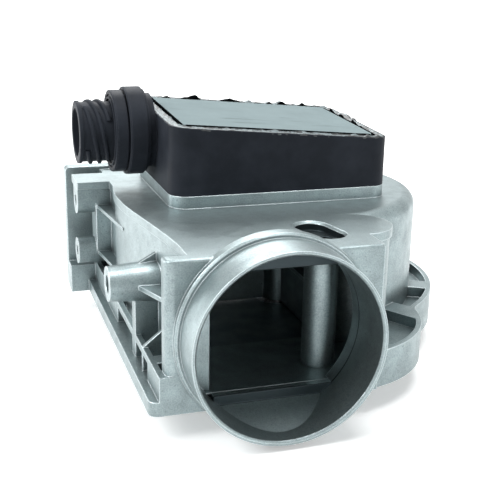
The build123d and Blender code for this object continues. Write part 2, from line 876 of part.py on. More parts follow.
hub_pin.part.label = "hub_pin"
export_step(hub_pin.part, "parts/hub_pin.step")


# Rubber buffers on their cast pins

def buffer(centre):
    """Rubber sleeve hanging from the ceiling round a buffer pin."""
    with BuildPart() as sleeve:
        with BuildSketch(Plane.XY.offset(ceiling_z)):
            with Locations(centre):
                Circle(buffer_r)
                Circle(buffer_pin_r + shaft_fit, mode=Mode.SUBTRACT)
        extrude(amount=-buffer_h)
    return sleeve.part


open_stop_buffer = buffer(open_buffer)
open_stop_buffer.label = "open_stop_buffer"
export_step(open_stop_buffer, "parts/open_stop_buffer.step")

closed_stop_buffer = buffer(closed_buffer)
closed_stop_buffer.label = "closed_stop_buffer"
export_step(closed_stop_buffer, "parts/closed_stop_buffer.step")


# Toothed wheel that sets the tension of the return spring

wheel_floor_z = seat_top_z + wheel_floor_t
post_reach = wheel_r - wheel_tooth - wheel_ring_t - post_r + post_sink
tooth = 360.0 / wheel_teeth
rim_points = []
for n in range(wheel_teeth):
    middle = (n + 0.5) * tooth
    for radius, turn in ((wheel_r - wheel_tooth, -0.36), (wheel_r, -0.2)):
        rim_points.append(place(radius, middle + turn * tooth))
    for radius, turn in ((wheel_r, 0.2), (wheel_r - wheel_tooth, 0.36)):
        rim_points.append(place(radius, middle + turn * tooth))

with BuildPart() as tension_wheel:
    with BuildSketch(Plane.XY.offset(seat_top_z)):
        with BuildLine():
            Polyline(*rim_points, close=True)
        make_face()
        with Locations((shaft_x, shaft_y)):
            Circle(wheel_r - wheel_tooth - wheel_ring_t, mode=Mode.SUBTRACT)
    extrude(amount=wheel_h)
    with BuildSketch(Plane.XY.offset(seat_top_z)):
        with Locations((shaft_x, shaft_y)):
            Circle(wheel_r - wheel_tooth - wheel_ring_t)
            Circle(wheel_hole_r, mode=Mode.SUBTRACT)
    extrude(amount=wheel_floor_t)
    with BuildSketch(Plane.XY.offset(seat_top_z)):
        with Locations((shaft_x, shaft_y)):
            Circle(bearing_r + seat_wall + wheel_gap + wheel_skirt_t)
            Circle(bearing_r + seat_wall + wheel_gap, mode=Mode.SUBTRACT)
    extrude(amount=top_z + 0.6 - seat_top_z)
    with BuildSketch(Plane.XY.offset(wheel_floor_z)):
        with Locations(place(post_reach, post_angle)):
            Circle(post_r)
    extrude(amount=wheel_h - wheel_floor_t)

tension_wheel.part.label = "tension_wheel"
export_step(tension_wheel.part, "parts/tension_wheel.step")


# Return spring: a flat strip wound in a spiral, its outer end held in the post

spring_in_r = collet_r + running_gap
spring_step = (post_reach - spring_strip_t / 2 - spring_in_r) / (2 * spring_turns)


def half_turn(number, offset):
    """Ends and middle of one half turn of the spiral, moved out by an offset."""
    centre = place(spring_step * (number % 2), post_angle)
    radius = spring_in_r + spring_step * number + offset
    points = []
    for turn in (180 * number, 180 * number + 90, 180 * number + 180):
        a = radians(post_angle + turn)
        points.append((centre[0] + radius * cos(a), centre[1] + radius * sin(a)))
    return points


with BuildPart() as return_spring:
    with BuildSketch(Plane.XY.offset(wheel_floor_z + 0.5)):
        with BuildLine():
            for number in range(2 * spring_turns):
                ThreePointArc(*half_turn(number, 0))
                ThreePointArc(*half_turn(number, spring_strip_t))
            Line(half_turn(0, 0)[0], half_turn(0, spring_strip_t)[0])
            last = 2 * spring_turns - 1
            Line(half_turn(last, 0)[2], half_turn(last, spring_strip_t)[2])
        make_face()
    extrude(amount=spring_h)

return_spring.part.label = "return_spring"
export_step(return_spring.part, "parts/return_spring.step")

with BuildPart() as spring_collet:
    with BuildSketch(Plane.XY.offset(wheel_floor_z + running_gap)):
        with Locations((shaft_x, shaft_y)):
            Circle(collet_r)
            Circle(shaft_r + shaft_fit, mode=Mode.SUBTRACT)
    extrude(amount=collet_h)
    with BuildSketch(Plane.XY.offset(wheel_floor_z + running_gap + collet_h)):
        with Locations((shaft_x, shaft_y)):
            Rectangle(3 * collet_r, screw_slot)
    extrude(amount=-screw_slot, mode=Mode.SUBTRACT)

spring_collet.part.label = "spring_collet"
export_step(spring_collet.part, "parts/spring_collet.step")


# Leaf clip that locks the wheel, with its screw

with BuildPart() as wheel_clip:
    tip_x = shaft_x - wheel_r + wheel_tooth - 0.4
    mouth_x = shaft_x - wheel_r - 0.2
    with BuildSketch(Plane.XY.offset(clip_z)):
        with BuildLine():
            Polyline(
                (clip_x - pillar_r, shaft_y - clip_w / 2),
                (clip_x + pillar_r, shaft_y - clip_w / 2),
                (mouth_x, shaft_y - 0.5),
                (tip_x, shaft_y - 0.2),
                (tip_x, shaft_y + 0.2),
                (mouth_x, shaft_y + 0.5),
                (clip_x + pillar_r, shaft_y + clip_w / 2),
                (clip_x - pillar_r, shaft_y + clip_w / 2),
                close=True,
            )
        make_face()
        with Locations((clip_x, shaft_y)):
            Circle(screw_r + screw_gap, mode=Mode.SUBTRACT)
    extrude(amount=clip_t)

wheel_clip.part.label = "wheel_clip"
export_step(wheel_clip.part, "parts/wheel_clip.step")

clip_screw = screw([(clip_x, shaft_y)], clip_z + clip_t, clip_screw_l)
clip_screw.label = "clip_screw"
export_step(clip_screw, "parts/clip_screw.step")


# Resistor board on its two pillars

board_top_z = board_z + board_t

with BuildPart() as resistor_board:
    with BuildSketch(Plane.XY.offset(board_z)):
        with Locations((board_left_x, board_y)):
            Rectangle(
                board_right_x - board_left_x,
                board_w,
                align=(Align.MIN, Align.CENTER),
            )
        with Locations((board_pillar_x, pillar_ys[0]), (board_pillar_x, pillar_ys[1])):
            Circle(screw_r + screw_gap, mode=Mode.SUBTRACT)
    extrude(amount=board_t)

resistor_board.part.label = "resistor_board"
export_step(resistor_board.part, "parts/resistor_board.step")

board_screws = screw([(board_pillar_x, y) for y in pillar_ys], board_top_z, board_screw_l)
board_screws.label = "board_screws"
export_step(board_screws, "parts/board_screws.step")


# Wiper: hub, arm with its eye, counterweight and retaining ring

with BuildPart() as wiper_hub:
    with BuildSketch(Plane.XY.offset(wiper_hub_z)):
        with Locations((shaft_x, shaft_y)):
            Circle(wiper_hub_r)
    extrude(amount=board_top_z + wiper_gap - wiper_hub_z)
    with BuildSketch(Plane.XY.offset(wiper_hub_z)):
        with Locations((shaft_x, shaft_y)):
            Circle(wiper_neck_r)
    extrude(amount=wiper_hub_h)
    with Locations((shaft_x, shaft_y, wiper_top_z)):
        Hole(shaft_r + shaft_fit, wiper_hub_h)

wiper_hub.part.label = "wiper_hub"
export_step(wiper_hub.part, "parts/wiper_hub.step")

with BuildPart() as wiper_arm:
    with BuildSketch(Plane.XY.offset(board_top_z + wiper_gap)):
        with Locations(Location((shaft_x, shaft_y, 0), (0, 0, wiper_rest_angle))):
            Trapezoid(
                wiper_hub_r * 2,
                wiper_reach,
                90 - 6,
                rotation=-90,
                align=(Align.CENTER, Align.MIN),
            )
            with Locations((-weight_reach / 2 - weight_size / 4, 0)):
                Rectangle(weight_reach + weight_size / 2, weight_size)
            Circle(wiper_hub_r)
            Circle(wiper_neck_r + shaft_fit, mode=Mode.SUBTRACT)
    extrude(amount=arm_t)

wiper_arm.part.label = "wiper_arm"
export_step(wiper_arm.part, "parts/wiper_arm.step")

with BuildPart() as counterweight:
    with BuildSketch(Plane.XY.offset(board_top_z + wiper_gap + arm_t)):
        with Locations(Location((shaft_x, shaft_y, 0), (0, 0, wiper_rest_angle))):
            with Locations((-weight_reach, 0)):
                RectangleRounded(weight_size, weight_size, 1)
    extrude(amount=weight_h)

counterweight.part.label = "counterweight"
export_step(counterweight.part, "parts/counterweight.step")

with BuildPart() as retaining_ring:
    with BuildSketch(Plane.XY.offset(wiper_top_z)):
        with Locations((shaft_x, shaft_y)):
            Circle(shaft_r + 1.6)
            Circle(shaft_r - groove_depth + shaft_fit, mode=Mode.SUBTRACT)
        with Locations((shaft_x, shaft_y - shaft_r)):
            Rectangle(2 * (shaft_r - groove_depth), 2 * shaft_r, mode=Mode.SUBTRACT)
    extrude(amount=ring_t)

retaining_ring.part.label = "retaining_ring"
export_step(retaining_ring.part, "parts/retaining_ring.step")

with BuildPart() as pickup_contact:
    with BuildSketch(Plane.XZ.offset(-shaft_y)):
        with BuildLine():
            Polyline(
                (pickup_x - 4, board_top_z),
                (pickup_x, board_top_z),
                (pickup_x, shaft_top_z + running_gap),
                (shaft_x + 2, shaft_top_z + running_gap),
                (shaft_x + 2, shaft_top_z + running_gap + pickup_t),
                (pickup_x - pickup_t, shaft_top_z + running_gap + pickup_t),
                (pickup_x - pickup_t, board_top_z + pickup_t),
                (pickup_x - 4, board_top_z + pickup_t),
                close=True,
            )
        make_face()
    extrude(amount=pickup_w / 2, both=True)

pickup_contact.part.label = "pickup_contact"
export_step(pickup_contact.part, "parts/pickup_contact.step")


# Black electronics housing with the plug connector

top_hollow = sloped_slab(rim_wall, None, -5, lid_depth)
ledge = sloped_slab(frame_wall - 0.2, frame_wall + lid_ledge, lid_depth, lid_depth + lid_ledge_t)

with BuildPart() as electronics_housing:
    with BuildSketch(Plane.XY.offset(plinth_z)):
        frame_plan(0)
    extrude(amount=2 * (frame_top_z - plinth_z))
    with BuildSketch(frame_plane(0)):
        Rectangle(beyond, beyond)
    extrude(amount=beyond, mode=Mode.SUBTRACT)
    with BuildSketch(Plane.YZ.offset(plinth_left_x)):
        with Locations((plug_y, plug_z)):
            Circle(neck_r)
    extrude(amount=collar_one_x[0] - plinth_left_x)
    with BuildSketch(Plane.XY.offset(plinth_z - tongue_h)):
        frame_plan(plinth_wall + tongue_gap)
    extrude(amount=tongue_h)
    with BuildSketch(Plane.XY.offset(plinth_z - tongue_h)):
        frame_plan(frame_wall)
    extrude(amount=beyond, mode=Mode.SUBTRACT)
    add(ledge)
    add(top_hollow, mode=Mode.SUBTRACT)
    for ends, radius in ((collar_one_x, collar_one_r), (collar_two_x, collar_two_r)):
        with BuildSketch(Plane.YZ.offset(ends[0])):
            with Locations((plug_y, plug_z)):
                Circle(radius)
        extrude(amount=ends[1] - ends[0])
    with BuildSketch(Plane.YZ.offset(barrel_tip_x)):
        with Locations((plug_y, plug_z)):
            Circle(barrel_r)
    extrude(amount=collar_one_x[0] - barrel_tip_x)
    with BuildSketch(Plane.YZ.offset(barrel_tip_x)):
        with Locations((plug_y, plug_z)):
            Circle(barrel_bore_r)
    extrude(amount=barrel_floor_x - barrel_tip_x, mode=Mode.SUBTRACT)
    with BuildSketch(Plane.YZ.offset(barrel_floor_x)):
        with Locations((plug_y, plug_z)):
            with PolarLocations(pin_ring_r, pin_count, start_angle=-90):
                Circle(pin_r + shaft_fit)
    extrude(amount=plinth_left_x + frame_wall + lid_ledge - barrel_floor_x, mode=Mode.SUBTRACT)

    # Lugs in the four corners, with their screw holes
    with BuildSketch(Plane.XY.offset(plinth_z - tongue_h)):
        with Locations(*lug_centres):
            Rectangle(2 * lug_inset - 2 * frame_wall, 2 * lug_inset - 2 * frame_wall)
            Circle(screw_r + screw_gap, mode=Mode.SUBTRACT)
    extrude(amount=lug_top_z - plinth_z + tongue_h)

electronics_housing.part.label = "electronics_housing"
export_step(electronics_housing.part, "parts/electronics_housing.step")

frame_screws = screw(lug_centres, lug_top_z, frame_screw_l)
frame_screws.label = "frame_screws"
export_step(frame_screws, "parts/frame_screws.step")

lid_sealant = sloped_slab(rim_wall, rim_wall + sealant_w, sealant_depth, lid_depth)
lid_sealant.label = "lid_sealant"
export_step(lid_sealant, "parts/lid_sealant.step")

lid_plate = sloped_slab(rim_wall + sealant_w + lid_gap, None, lid_depth - lid_t, lid_depth)
lid_plate.label = "lid_plate"
export_step(lid_plate, "parts/lid_plate.step")


# Contact pins through the connector floor, and the strips down to the board

with BuildPart() as connector_pins:
    with BuildSketch(Plane.YZ.offset(pin_tip_x)):
        with Locations((plug_y, plug_z)):
            with PolarLocations(pin_ring_r, pin_count, start_angle=-90):
                Circle(pin_r)
    extrude(amount=lead_x - lead_t - pin_tip_x)

connector_pins.part.label = "connector_pins"
export_step(connector_pins.part, "parts/connector_pins.step")

pin_angles = [-90 + 360 / pin_count * n for n in range(pin_count)]
pin_spots = [
    (plug_y + pin_ring_r * cos(radians(a)), plug_z + pin_ring_r * sin(radians(a)))
    for a in pin_angles
]

with BuildPart() as board_leads:
    with BuildSketch(Plane.YZ.offset(lead_x)):
        for spot_y, spot_z in pin_spots:
            with Locations((spot_y, board_top_z)):
                Rectangle(
                    lead_w,
                    spot_z + pin_r - board_top_z,
                    align=(Align.CENTER, Align.MIN),
                )
    extrude(amount=-lead_t)

board_leads.part.label = "board_leads"
export_step(board_leads.part, "parts/board_leads.step")


# Air temperature sensor, through the deck into the channel

with BuildPart() as air_temperature_sensor:
    with BuildSketch(Plane.XY.offset(top_z)):
        with Locations((probe_x, probe_y)):
            Circle(probe_flange_r)
    extrude(amount=probe_flange_t)
    with BuildSketch(Plane.XY.offset(top_z)):
        with Locations((probe_x, probe_y)):
            Circle(probe_r)
    extrude(amount=probe_neck_z - top_z)
    with BuildSketch(Plane.XY.offset(probe_neck_z)):
        with Locations((probe_x, probe_y)):
            Circle(probe_bead_r)
    extrude(amount=probe_tip_z - probe_neck_z)
    fillet(air_temperature_sensor.edges().group_by(Axis.Z)[0], probe_bead_r * 0.9)

air_temperature_sensor.part.label = "air_temperature_sensor"
export_step(air_temperature_sensor.part, "parts/air_temperature_sensor.step")


# Mixture screw on the floor of the bypass well

with BuildPart() as mixture_screw:
    with BuildSketch(Plane.XY.offset(column_floor_z)):
        with Locations((column_x, column_y)):
            Circle(mixture_head_r)
    extrude(amount=mixture_head_h)
    with BuildSketch(Plane.XY.offset(column_floor_z + mixture_head_h)):
        with Locations((column_x, column_y)):
            Rectangle(3 * mixture_head_r, screw_slot)
    extrude(amount=-screw_slot, mode=Mode.SUBTRACT)
    with BuildSketch(Plane.XY.offset(column_floor_z)):
        with Locations((column_x, column_y)):
            Circle(small_thread_r - thread_gap)
    extrude(amount=-mixture_thread_l)

mixture_screw.part.label = "mixture_screw"
export_step(mixture_screw.part, "parts/mixture_screw.step")
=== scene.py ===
"""Looks of a vane-type air flow sensor: bare die casting, black box with its plug, light lid in sealant."""

import math

import bmesh
import bpy
from bpy.props import FloatProperty, FloatVectorProperty, IntProperty, PointerProperty
from mathutils import Matrix, Vector, noise


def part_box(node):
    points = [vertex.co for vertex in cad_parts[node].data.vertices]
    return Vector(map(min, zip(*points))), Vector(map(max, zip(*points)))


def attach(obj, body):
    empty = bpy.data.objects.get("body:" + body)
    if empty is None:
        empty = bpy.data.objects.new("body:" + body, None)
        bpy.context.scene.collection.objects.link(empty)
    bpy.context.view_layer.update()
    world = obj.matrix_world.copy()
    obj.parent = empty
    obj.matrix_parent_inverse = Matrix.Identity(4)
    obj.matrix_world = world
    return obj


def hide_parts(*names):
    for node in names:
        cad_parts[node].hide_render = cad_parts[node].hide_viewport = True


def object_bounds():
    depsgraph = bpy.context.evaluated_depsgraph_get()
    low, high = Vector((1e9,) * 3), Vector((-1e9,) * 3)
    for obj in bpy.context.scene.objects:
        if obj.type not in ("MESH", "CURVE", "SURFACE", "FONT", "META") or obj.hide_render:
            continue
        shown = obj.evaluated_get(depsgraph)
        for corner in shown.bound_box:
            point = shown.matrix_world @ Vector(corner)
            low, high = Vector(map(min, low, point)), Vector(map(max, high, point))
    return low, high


bl_info = {
    "name": "Air Flow Sensor",
    "version": (1, 0, 0),
    "blender": (4, 5, 0),
    "location": "View3D > Sidebar > Air Flow",
    "description": "Finishes a vane-type air flow sensor and sets up its studio",
    "category": "Object",
}

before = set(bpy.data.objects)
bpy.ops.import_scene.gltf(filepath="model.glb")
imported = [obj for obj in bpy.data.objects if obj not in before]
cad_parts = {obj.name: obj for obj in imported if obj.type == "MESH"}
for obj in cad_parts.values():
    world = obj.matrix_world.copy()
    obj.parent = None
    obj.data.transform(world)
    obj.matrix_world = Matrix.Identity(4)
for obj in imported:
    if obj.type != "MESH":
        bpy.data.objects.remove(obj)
cad_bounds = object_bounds()

MM = 0.001
PHOTO_SIDE = 500
SENSOR_WIDTH = 36.0
FLOOR_GAP = 0.2 * MM
FLOOR_REACH = 4.0

# Places of the painted shade inside the casting

BORE_WALL = (30.6 * MM, 31.15 * MM)
BORE_SPAN = (0.9 * MM, 24.8 * MM)
INSIDE_BORE = (0, 31.15 * MM)
SILL_FACE = (19.2 * MM, 19.9 * MM)
UPPER_STEP_FACE = (15.8 * MM, 16.2 * MM)
UPPER_STEP_SPAN = (21.5 * MM, 32 * MM)
WELL_CENTRE = (23.2 * MM, 38.8 * MM, 0)
WELL_REACH = (0, 12.5 * MM)
WELL_SPAN = (22.4 * MM, 26 * MM)
COLUMN_CENTRE = (23.8 * MM, 37.3 * MM, 0)
COLUMN_REACH = (0, 5 * MM)
COLUMN_SPAN = (7 * MM, 23.5 * MM)
REAR_WIDTH = (-30.5 * MM, 36.5 * MM)
REAR_SPAN = (60 * MM, 150 * MM)
REAR_HEIGHT = (-22.3 * MM, 22.3 * MM)
BORE_SHADE = 0.05
REAR_SHADE = 0.32

# Rows of the sealant bead, from the rim of the box inward

BEAD_SPREAD = 1.35 * MM
BEAD_CORNER = 7 * MM
BEAD_STRAIGHT = 5 * MM
BEAD_CUTS = 90
BEAD_SKIRT = 0.5 * MM
BEAD_HEIGHTS = (-0.15, 0.1, 0.15, -0.1, -0.5)
BEAD_SHARES = (0.6, 1.0, 0.8, 0.3, 0.1)
BEAD_FLASH = (0.85, 0.6, 0.15, 0.05, 0.45)

# The lid's sheet and its dark joint

SHEET_INSET = 1.2 * MM
SHEET_CORNER = 3 * MM
SHEET_SINK = 0.7 * MM
SHEET_THICKNESS = 1.1 * MM
SHEET_EDGE = 0.25 * MM
LID_JOINT = 1.1 * MM
LID_LOW = (0.222, 0.276, 0.286)
LID_HIGH = (0.248, 0.307, 0.318)
LID_MARKS = (0.163, 0.203, 0.212)
LID_JOINT_COLOUR = (0.006, 0.008, 0.009)

# Rims on the plug's collars: place along X, radius, half width and height

COLLAR_RIMS = (
    (-35.4 * MM, 14.9 * MM, 0.6 * MM, 1.1 * MM),
    (-35.4 * MM, 12.9 * MM, 0.9 * MM, 0.6 * MM),
    (-30.2 * MM, 16.2 * MM, 0.5 * MM, 0.9 * MM),
    (-23.6 * MM, 15.4 * MM, 0.8 * MM, 1.0 * MM),
)
LIP_HEIGHT = 0.6 * MM

# Lamps: name, place in metres, side in metres and power in watts

LAMPS = (
    ("key", (-0.85, -0.05, 0.75), 0.55, 9.0),
    ("side", (-0.75, 0.65, 0.12), 0.4, 3.5),
    ("top", (0.15, 0.0, 1.0), 0.45, 6.5),
    ("fill", (0.85, -0.6, 0.3), 0.5, 2.5),
    ("rim", (0.1, 0.9, 0.7), 0.6, 6.0),
)
LAMP_TARGET = (0.01, 0.08, 0.01)
WORLD_COLOUR = (0.98, 1.0, 1.0, 1)
WORLD_LIGHT = 0.3


# Sizes and colours that a user would change


class CastingSettings(bpy.types.PropertyGroup):
    """The bare die casting."""

    colour: FloatVectorProperty(
        name="Skin", description="Colour of the dulled casting", subtype="COLOR", default=(0.27, 0.335, 0.345)
    )
    # Edges lighten toward this colour, partly wear and partly a painted highlight; the grain specks use it too
    bright: FloatVectorProperty(
        name="Bright", description="Colour of rubbed edges", subtype="COLOR", default=(0.68, 0.76, 0.78)
    )
    # Dark colour for cast pits, for dirt in the corners and for painted shade in corners and recesses
    grime_and_shade: FloatVectorProperty(
        name="Dirt and shade", description="Colour in the corners", subtype="COLOR", default=(0.06, 0.07, 0.075)
    )
    # Painted shade inside the bore, the well, the column and the rear of the channel
    painted_shade: FloatVectorProperty(
        name="Painted shade", description="Colour of the film inside", subtype="COLOR", default=(0.036, 0.048, 0.053)
    )
    roughness: FloatProperty(name="Roughness", description="Roughness of the skin", default=0.36)
    edge: FloatProperty(
        name="Edge", description="Radius of the cast edges", unit="LENGTH", default=0.6 * MM
    )
    grain: FloatProperty(
        name="Grain", description="Size of the sand-like grain", unit="LENGTH", default=0.5 * MM
    )


class PlasticSettings(bpy.types.PropertyGroup):
    """The black moulded box."""

    colour: FloatVectorProperty(
        name="Black", description="Colour of the moulding", subtype="COLOR", default=(0.0175, 0.0205, 0.0265)
    )
    roughness: FloatProperty(name="Roughness", description="Roughness of the moulding", default=0.48)
    edge: FloatProperty(
        name="Edge", description="Radius of the moulded edges", unit="LENGTH", default=0.6 * MM
    )


class SealantSettings(bpy.types.PropertyGroup):
    """The bead round the lid."""

    colour: FloatVectorProperty(
        name="Bead", description="Colour of the sealant", subtype="COLOR", default=(0.14, 0.175, 0.185)
    )
    flash: FloatVectorProperty(
        name="Flash", description="Colour of its squeezed edge", subtype="COLOR", default=(0.02, 0.024, 0.026)
    )
    width: FloatProperty(
        name="Width", description="Width of the bead", unit="LENGTH", default=3.7 * MM
    )
    lump: FloatProperty(
        name="Lump", description="Height of its lumps", unit="LENGTH", default=1.0 * MM
    )
    fall: FloatProperty(name="Fall", description="Fall of the lid toward the drum", default=0.083)
    rise: FloatProperty(name="Rise", description="Rise of the lid toward the inlet", default=0.045)
    rim: FloatProperty(
        name="Rim", description="Height of the sloping rim at the origin", unit="LENGTH", default=52.44 * MM
    )


class PlugSettings(bpy.types.PropertyGroup):
    """The coarse ridges of the plug barrel, its lip and the lines on its collars."""

    starts: IntProperty(name="Starts", description="Number of ridges", default=4)
    lead: FloatProperty(
        name="Lead", description="Travel of a ridge in one turn", unit="LENGTH", default=14.4 * MM
    )
    radius: FloatProperty(
        name="Radius", description="Radius of the barrel", unit="LENGTH", default=11.6 * MM
    )
    height: FloatProperty(
        name="Height", description="Height of a ridge", unit="LENGTH", default=1.0 * MM
    )
    width: FloatProperty(
        name="Width", description="Width of a ridge at its foot", unit="LENGTH", default=2.3 * MM
    )
    length: FloatProperty(
        name="Length", description="Length that the ridges cover", unit="LENGTH", default=8.6 * MM
    )
    lip: FloatProperty(name="Lip", description="Width of the lip at the tip", unit="LENGTH", default=1.5 * MM)
    collar: FloatProperty(
        name="Collar", description="Radius of the larger collar", unit="LENGTH", default=17.2 * MM
    )


class StudioSettings(bpy.types.PropertyGroup):
    """Camera, floor and lamps."""

    place: FloatVectorProperty(
        name="Camera", description="Place of the camera", subtype="TRANSLATION",
        default=(-0.098572, -0.252743, 0.116747),
    )
    pitch: FloatProperty(
        name="Pitch", description="Camera tilt below level", subtype="ANGLE", default=math.radians(17.23)
    )
    heading: FloatProperty(
        name="Heading", description="Turn toward the drum", subtype="ANGLE", default=math.radians(18.32)
    )
    roll: FloatProperty(
        name="Roll", description="Camera roll", subtype="ANGLE", default=math.radians(1.19)
    )
    focal: FloatProperty(name="Focal", description="Focal length in pixels of the photograph", default=945.47)
    floor: FloatVectorProperty(
        name="Floor", description="Colour of the floor", subtype="COLOR", default=(0.86, 0.87, 0.87)
    )


PROPERTY_GROUPS = {
    "sensor_casting": CastingSettings,
    "sensor_plastic": PlasticSettings,
    "sensor_sealant": SealantSettings,
    "sensor_plug": PlugSettings,
    "sensor_studio": StudioSettings,
}


# Node tools


def new_material(name):
    """A material with a bare Principled shader; returns it with its nodes, links and shader."""
    material = bpy.data.materials.new(name)
    material.use_nodes = True
    nodes = material.node_tree.nodes
    return material, nodes, material.node_tree.links, nodes["Principled BSDF"]


def add_node(nodes, kind, **values):
    """A node of one kind, with its own properties and its inputs set by name."""
    node = nodes.new(kind)
    for name, value in values.items():
        if hasattr(node, name):
            setattr(node, name, value)
        else:
            node.inputs[name].default_value = value
    return node


def new_group(name, inputs, outputs):
    """An empty shader node group with float inputs and typed outputs."""
    group = bpy.data.node_groups.new(name, "ShaderNodeTree")
    for label, value in inputs.items():
        socket = group.interface.new_socket(label, in_out="INPUT", socket_type="NodeSocketFloat")
        socket.default_value = value
    for label, kind in outputs.items():
        group.interface.new_socket(label, in_out="OUTPUT", socket_type=kind)
    entry = group.nodes.new("NodeGroupInput")
    leave = group.nodes.new("NodeGroupOutput")
    return group, entry, leave


def use_group(nodes, group, **values):
    """One use of a node group in a material, with its own values."""
    node = nodes.new("ShaderNodeGroup")
    node.node_tree = group
    for name, value in values.items():
        node.inputs[name].default_value = value
    return node


def mix_colour(nodes, links, mask, low, high, blend="MIX"):
    """A Mix node between two colours, or sockets, by a mask socket; returns its result."""
    mix = nodes.new("ShaderNodeMix")
    mix.data_type = "RGBA"
    mix.blend_type = blend
    links.new(mask, mix.inputs["Factor"])
    for index, colour in ((6, low), (7, high)):
        if isinstance(colour, bpy.types.NodeSocket):
            links.new(colour, mix.inputs[index])
        else:
            mix.inputs[index].default_value = (*colour, 1)
    return mix.outputs[2]


def remap(nodes, links, value, low, high, to_low=0.0, to_high=1.0):
    """A clamped Map Range of a value socket; returns its result."""
    node = nodes.new("ShaderNodeMapRange")
    links.new(value, node.inputs["Value"])
    for index, number in enumerate((low, high, to_low, to_high), start=1):
        node.inputs[index].default_value = number
    return node.outputs["Result"]


def grain_group():
    """Fine grain, slow mottling and scattered pits of a rough surface, from Object coordinates."""
    group, entry, leave = new_group(
        "surface_grain",
        {"Grain": 0.5 * MM, "Mottle": 8 * MM},
        {"Height": "NodeSocketFloat", "Mottle": "NodeSocketFloat", "Pits": "NodeSocketFloat"},
    )
    nodes, links = group.nodes, group.links
    place = nodes.new("ShaderNodeTexCoord")
    for label, source, detail, name in (
        ("Height", "Grain", 6.0, "grain"),
        ("Mottle", "Mottle", 5.0, "mottle"),
    ):
        scale = add_node(nodes, "ShaderNodeMath", operation="DIVIDE")
        scale.inputs[0].default_value = 1.0
        links.new(entry.outputs[source], scale.inputs[1])
        texture = add_node(nodes, "ShaderNodeTexNoise", Detail=detail, Roughness=0.6)
        texture.label = name
        links.new(place.outputs["Object"], texture.inputs["Vector"])
        links.new(scale.outputs["Value"], texture.inputs["Scale"])
        links.new(texture.outputs["Fac"], leave.inputs[label])
        if source == "Grain":
            pits = nodes.new("ShaderNodeTexVoronoi")
            slower = add_node(nodes, "ShaderNodeMath", operation="MULTIPLY")
            slower.inputs[1].default_value = 0.25
            links.new(scale.outputs["Value"], slower.inputs[0])
            links.new(place.outputs["Object"], pits.inputs["Vector"])
            links.new(slower.outputs["Value"], pits.inputs["Scale"])
            spots = remap(nodes, links, pits.outputs["Distance"], 0.12, 0.2, 1.0, 0.0)
            links.new(spots, leave.inputs["Pits"])
    return group


def edge_group():
    """Rounded normal and a mask along the edges, and occlusion masks that paint shade into the corners and
    recesses.
    """
    group, entry, leave = new_group(
        "edges_and_corners",
        {"Radius": 0.6 * MM, "Depth": 5 * MM, "Reach": 25 * MM},
        {
            "Normal": "NodeSocketVector",
            "Edge": "NodeSocketFloat",
            "Corner": "NodeSocketFloat",
            "Recess": "NodeSocketFloat",
        },
    )
    nodes, links = group.nodes, group.links
    bevel = add_node(nodes, "ShaderNodeBevel", samples=6)
    links.new(entry.outputs["Radius"], bevel.inputs["Radius"])
    links.new(bevel.outputs["Normal"], leave.inputs["Normal"])
    true = nodes.new("ShaderNodeNewGeometry")
    match = add_node(nodes, "ShaderNodeVectorMath", operation="DOT_PRODUCT")
    links.new(bevel.outputs["Normal"], match.inputs[0])
    links.new(true.outputs["Normal"], match.inputs[1])
    links.new(remap(nodes, links, match.outputs["Value"], 0.995, 0.85), leave.inputs["Edge"])
    # Painted shade: occlusion darkens corners (Depth) and wider recesses (Reach)
    for reach, mask, open_sky, closed in (("Depth", "Corner", 0.7, 0.2), ("Reach", "Recess", 0.55, 0.15)):
        shade = add_node(nodes, "ShaderNodeAmbientOcclusion", samples=8)
        links.new(entry.outputs[reach], shade.inputs["Distance"])
        links.new(remap(nodes, links, shade.outputs["AO"], open_sky, closed), leave.inputs[mask])
    return group


def both(nodes, links, *values):
    """The product of masks."""
    result = values[0]
    for value in values[1:]:
        node = add_node(nodes, "ShaderNodeMath", operation="MULTIPLY")
        links.new(result, node.inputs[0])
        links.new(value, node.inputs[1])
        result = node.outputs["Value"]
    return result


def within(nodes, links, value, low, high):
    """One where a value lies between two limits."""
    node = add_node(nodes, "ShaderNodeMath", operation="COMPARE")
    links.new(value, node.inputs[0])
    node.inputs[1].default_value = (low + high) / 2
    node.inputs[2].default_value = (high - low) / 2
    return node.outputs["Value"]


def distance_from(nodes, links, place, point, keep):
    """Distance from a line through a point, along the axis that keep leaves out."""
    moved = add_node(nodes, "ShaderNodeVectorMath", operation="SUBTRACT")
    moved.inputs[1].default_value = point
    links.new(place, moved.inputs[0])
    flat = add_node(nodes, "ShaderNodeVectorMath", operation="MULTIPLY")
    flat.inputs[1].default_value = keep
    links.new(moved.outputs["Vector"], flat.inputs[0])
    reach = add_node(nodes, "ShaderNodeVectorMath", operation="LENGTH")
    links.new(flat.outputs["Vector"], reach.inputs[0])
    return reach.outputs["Value"]


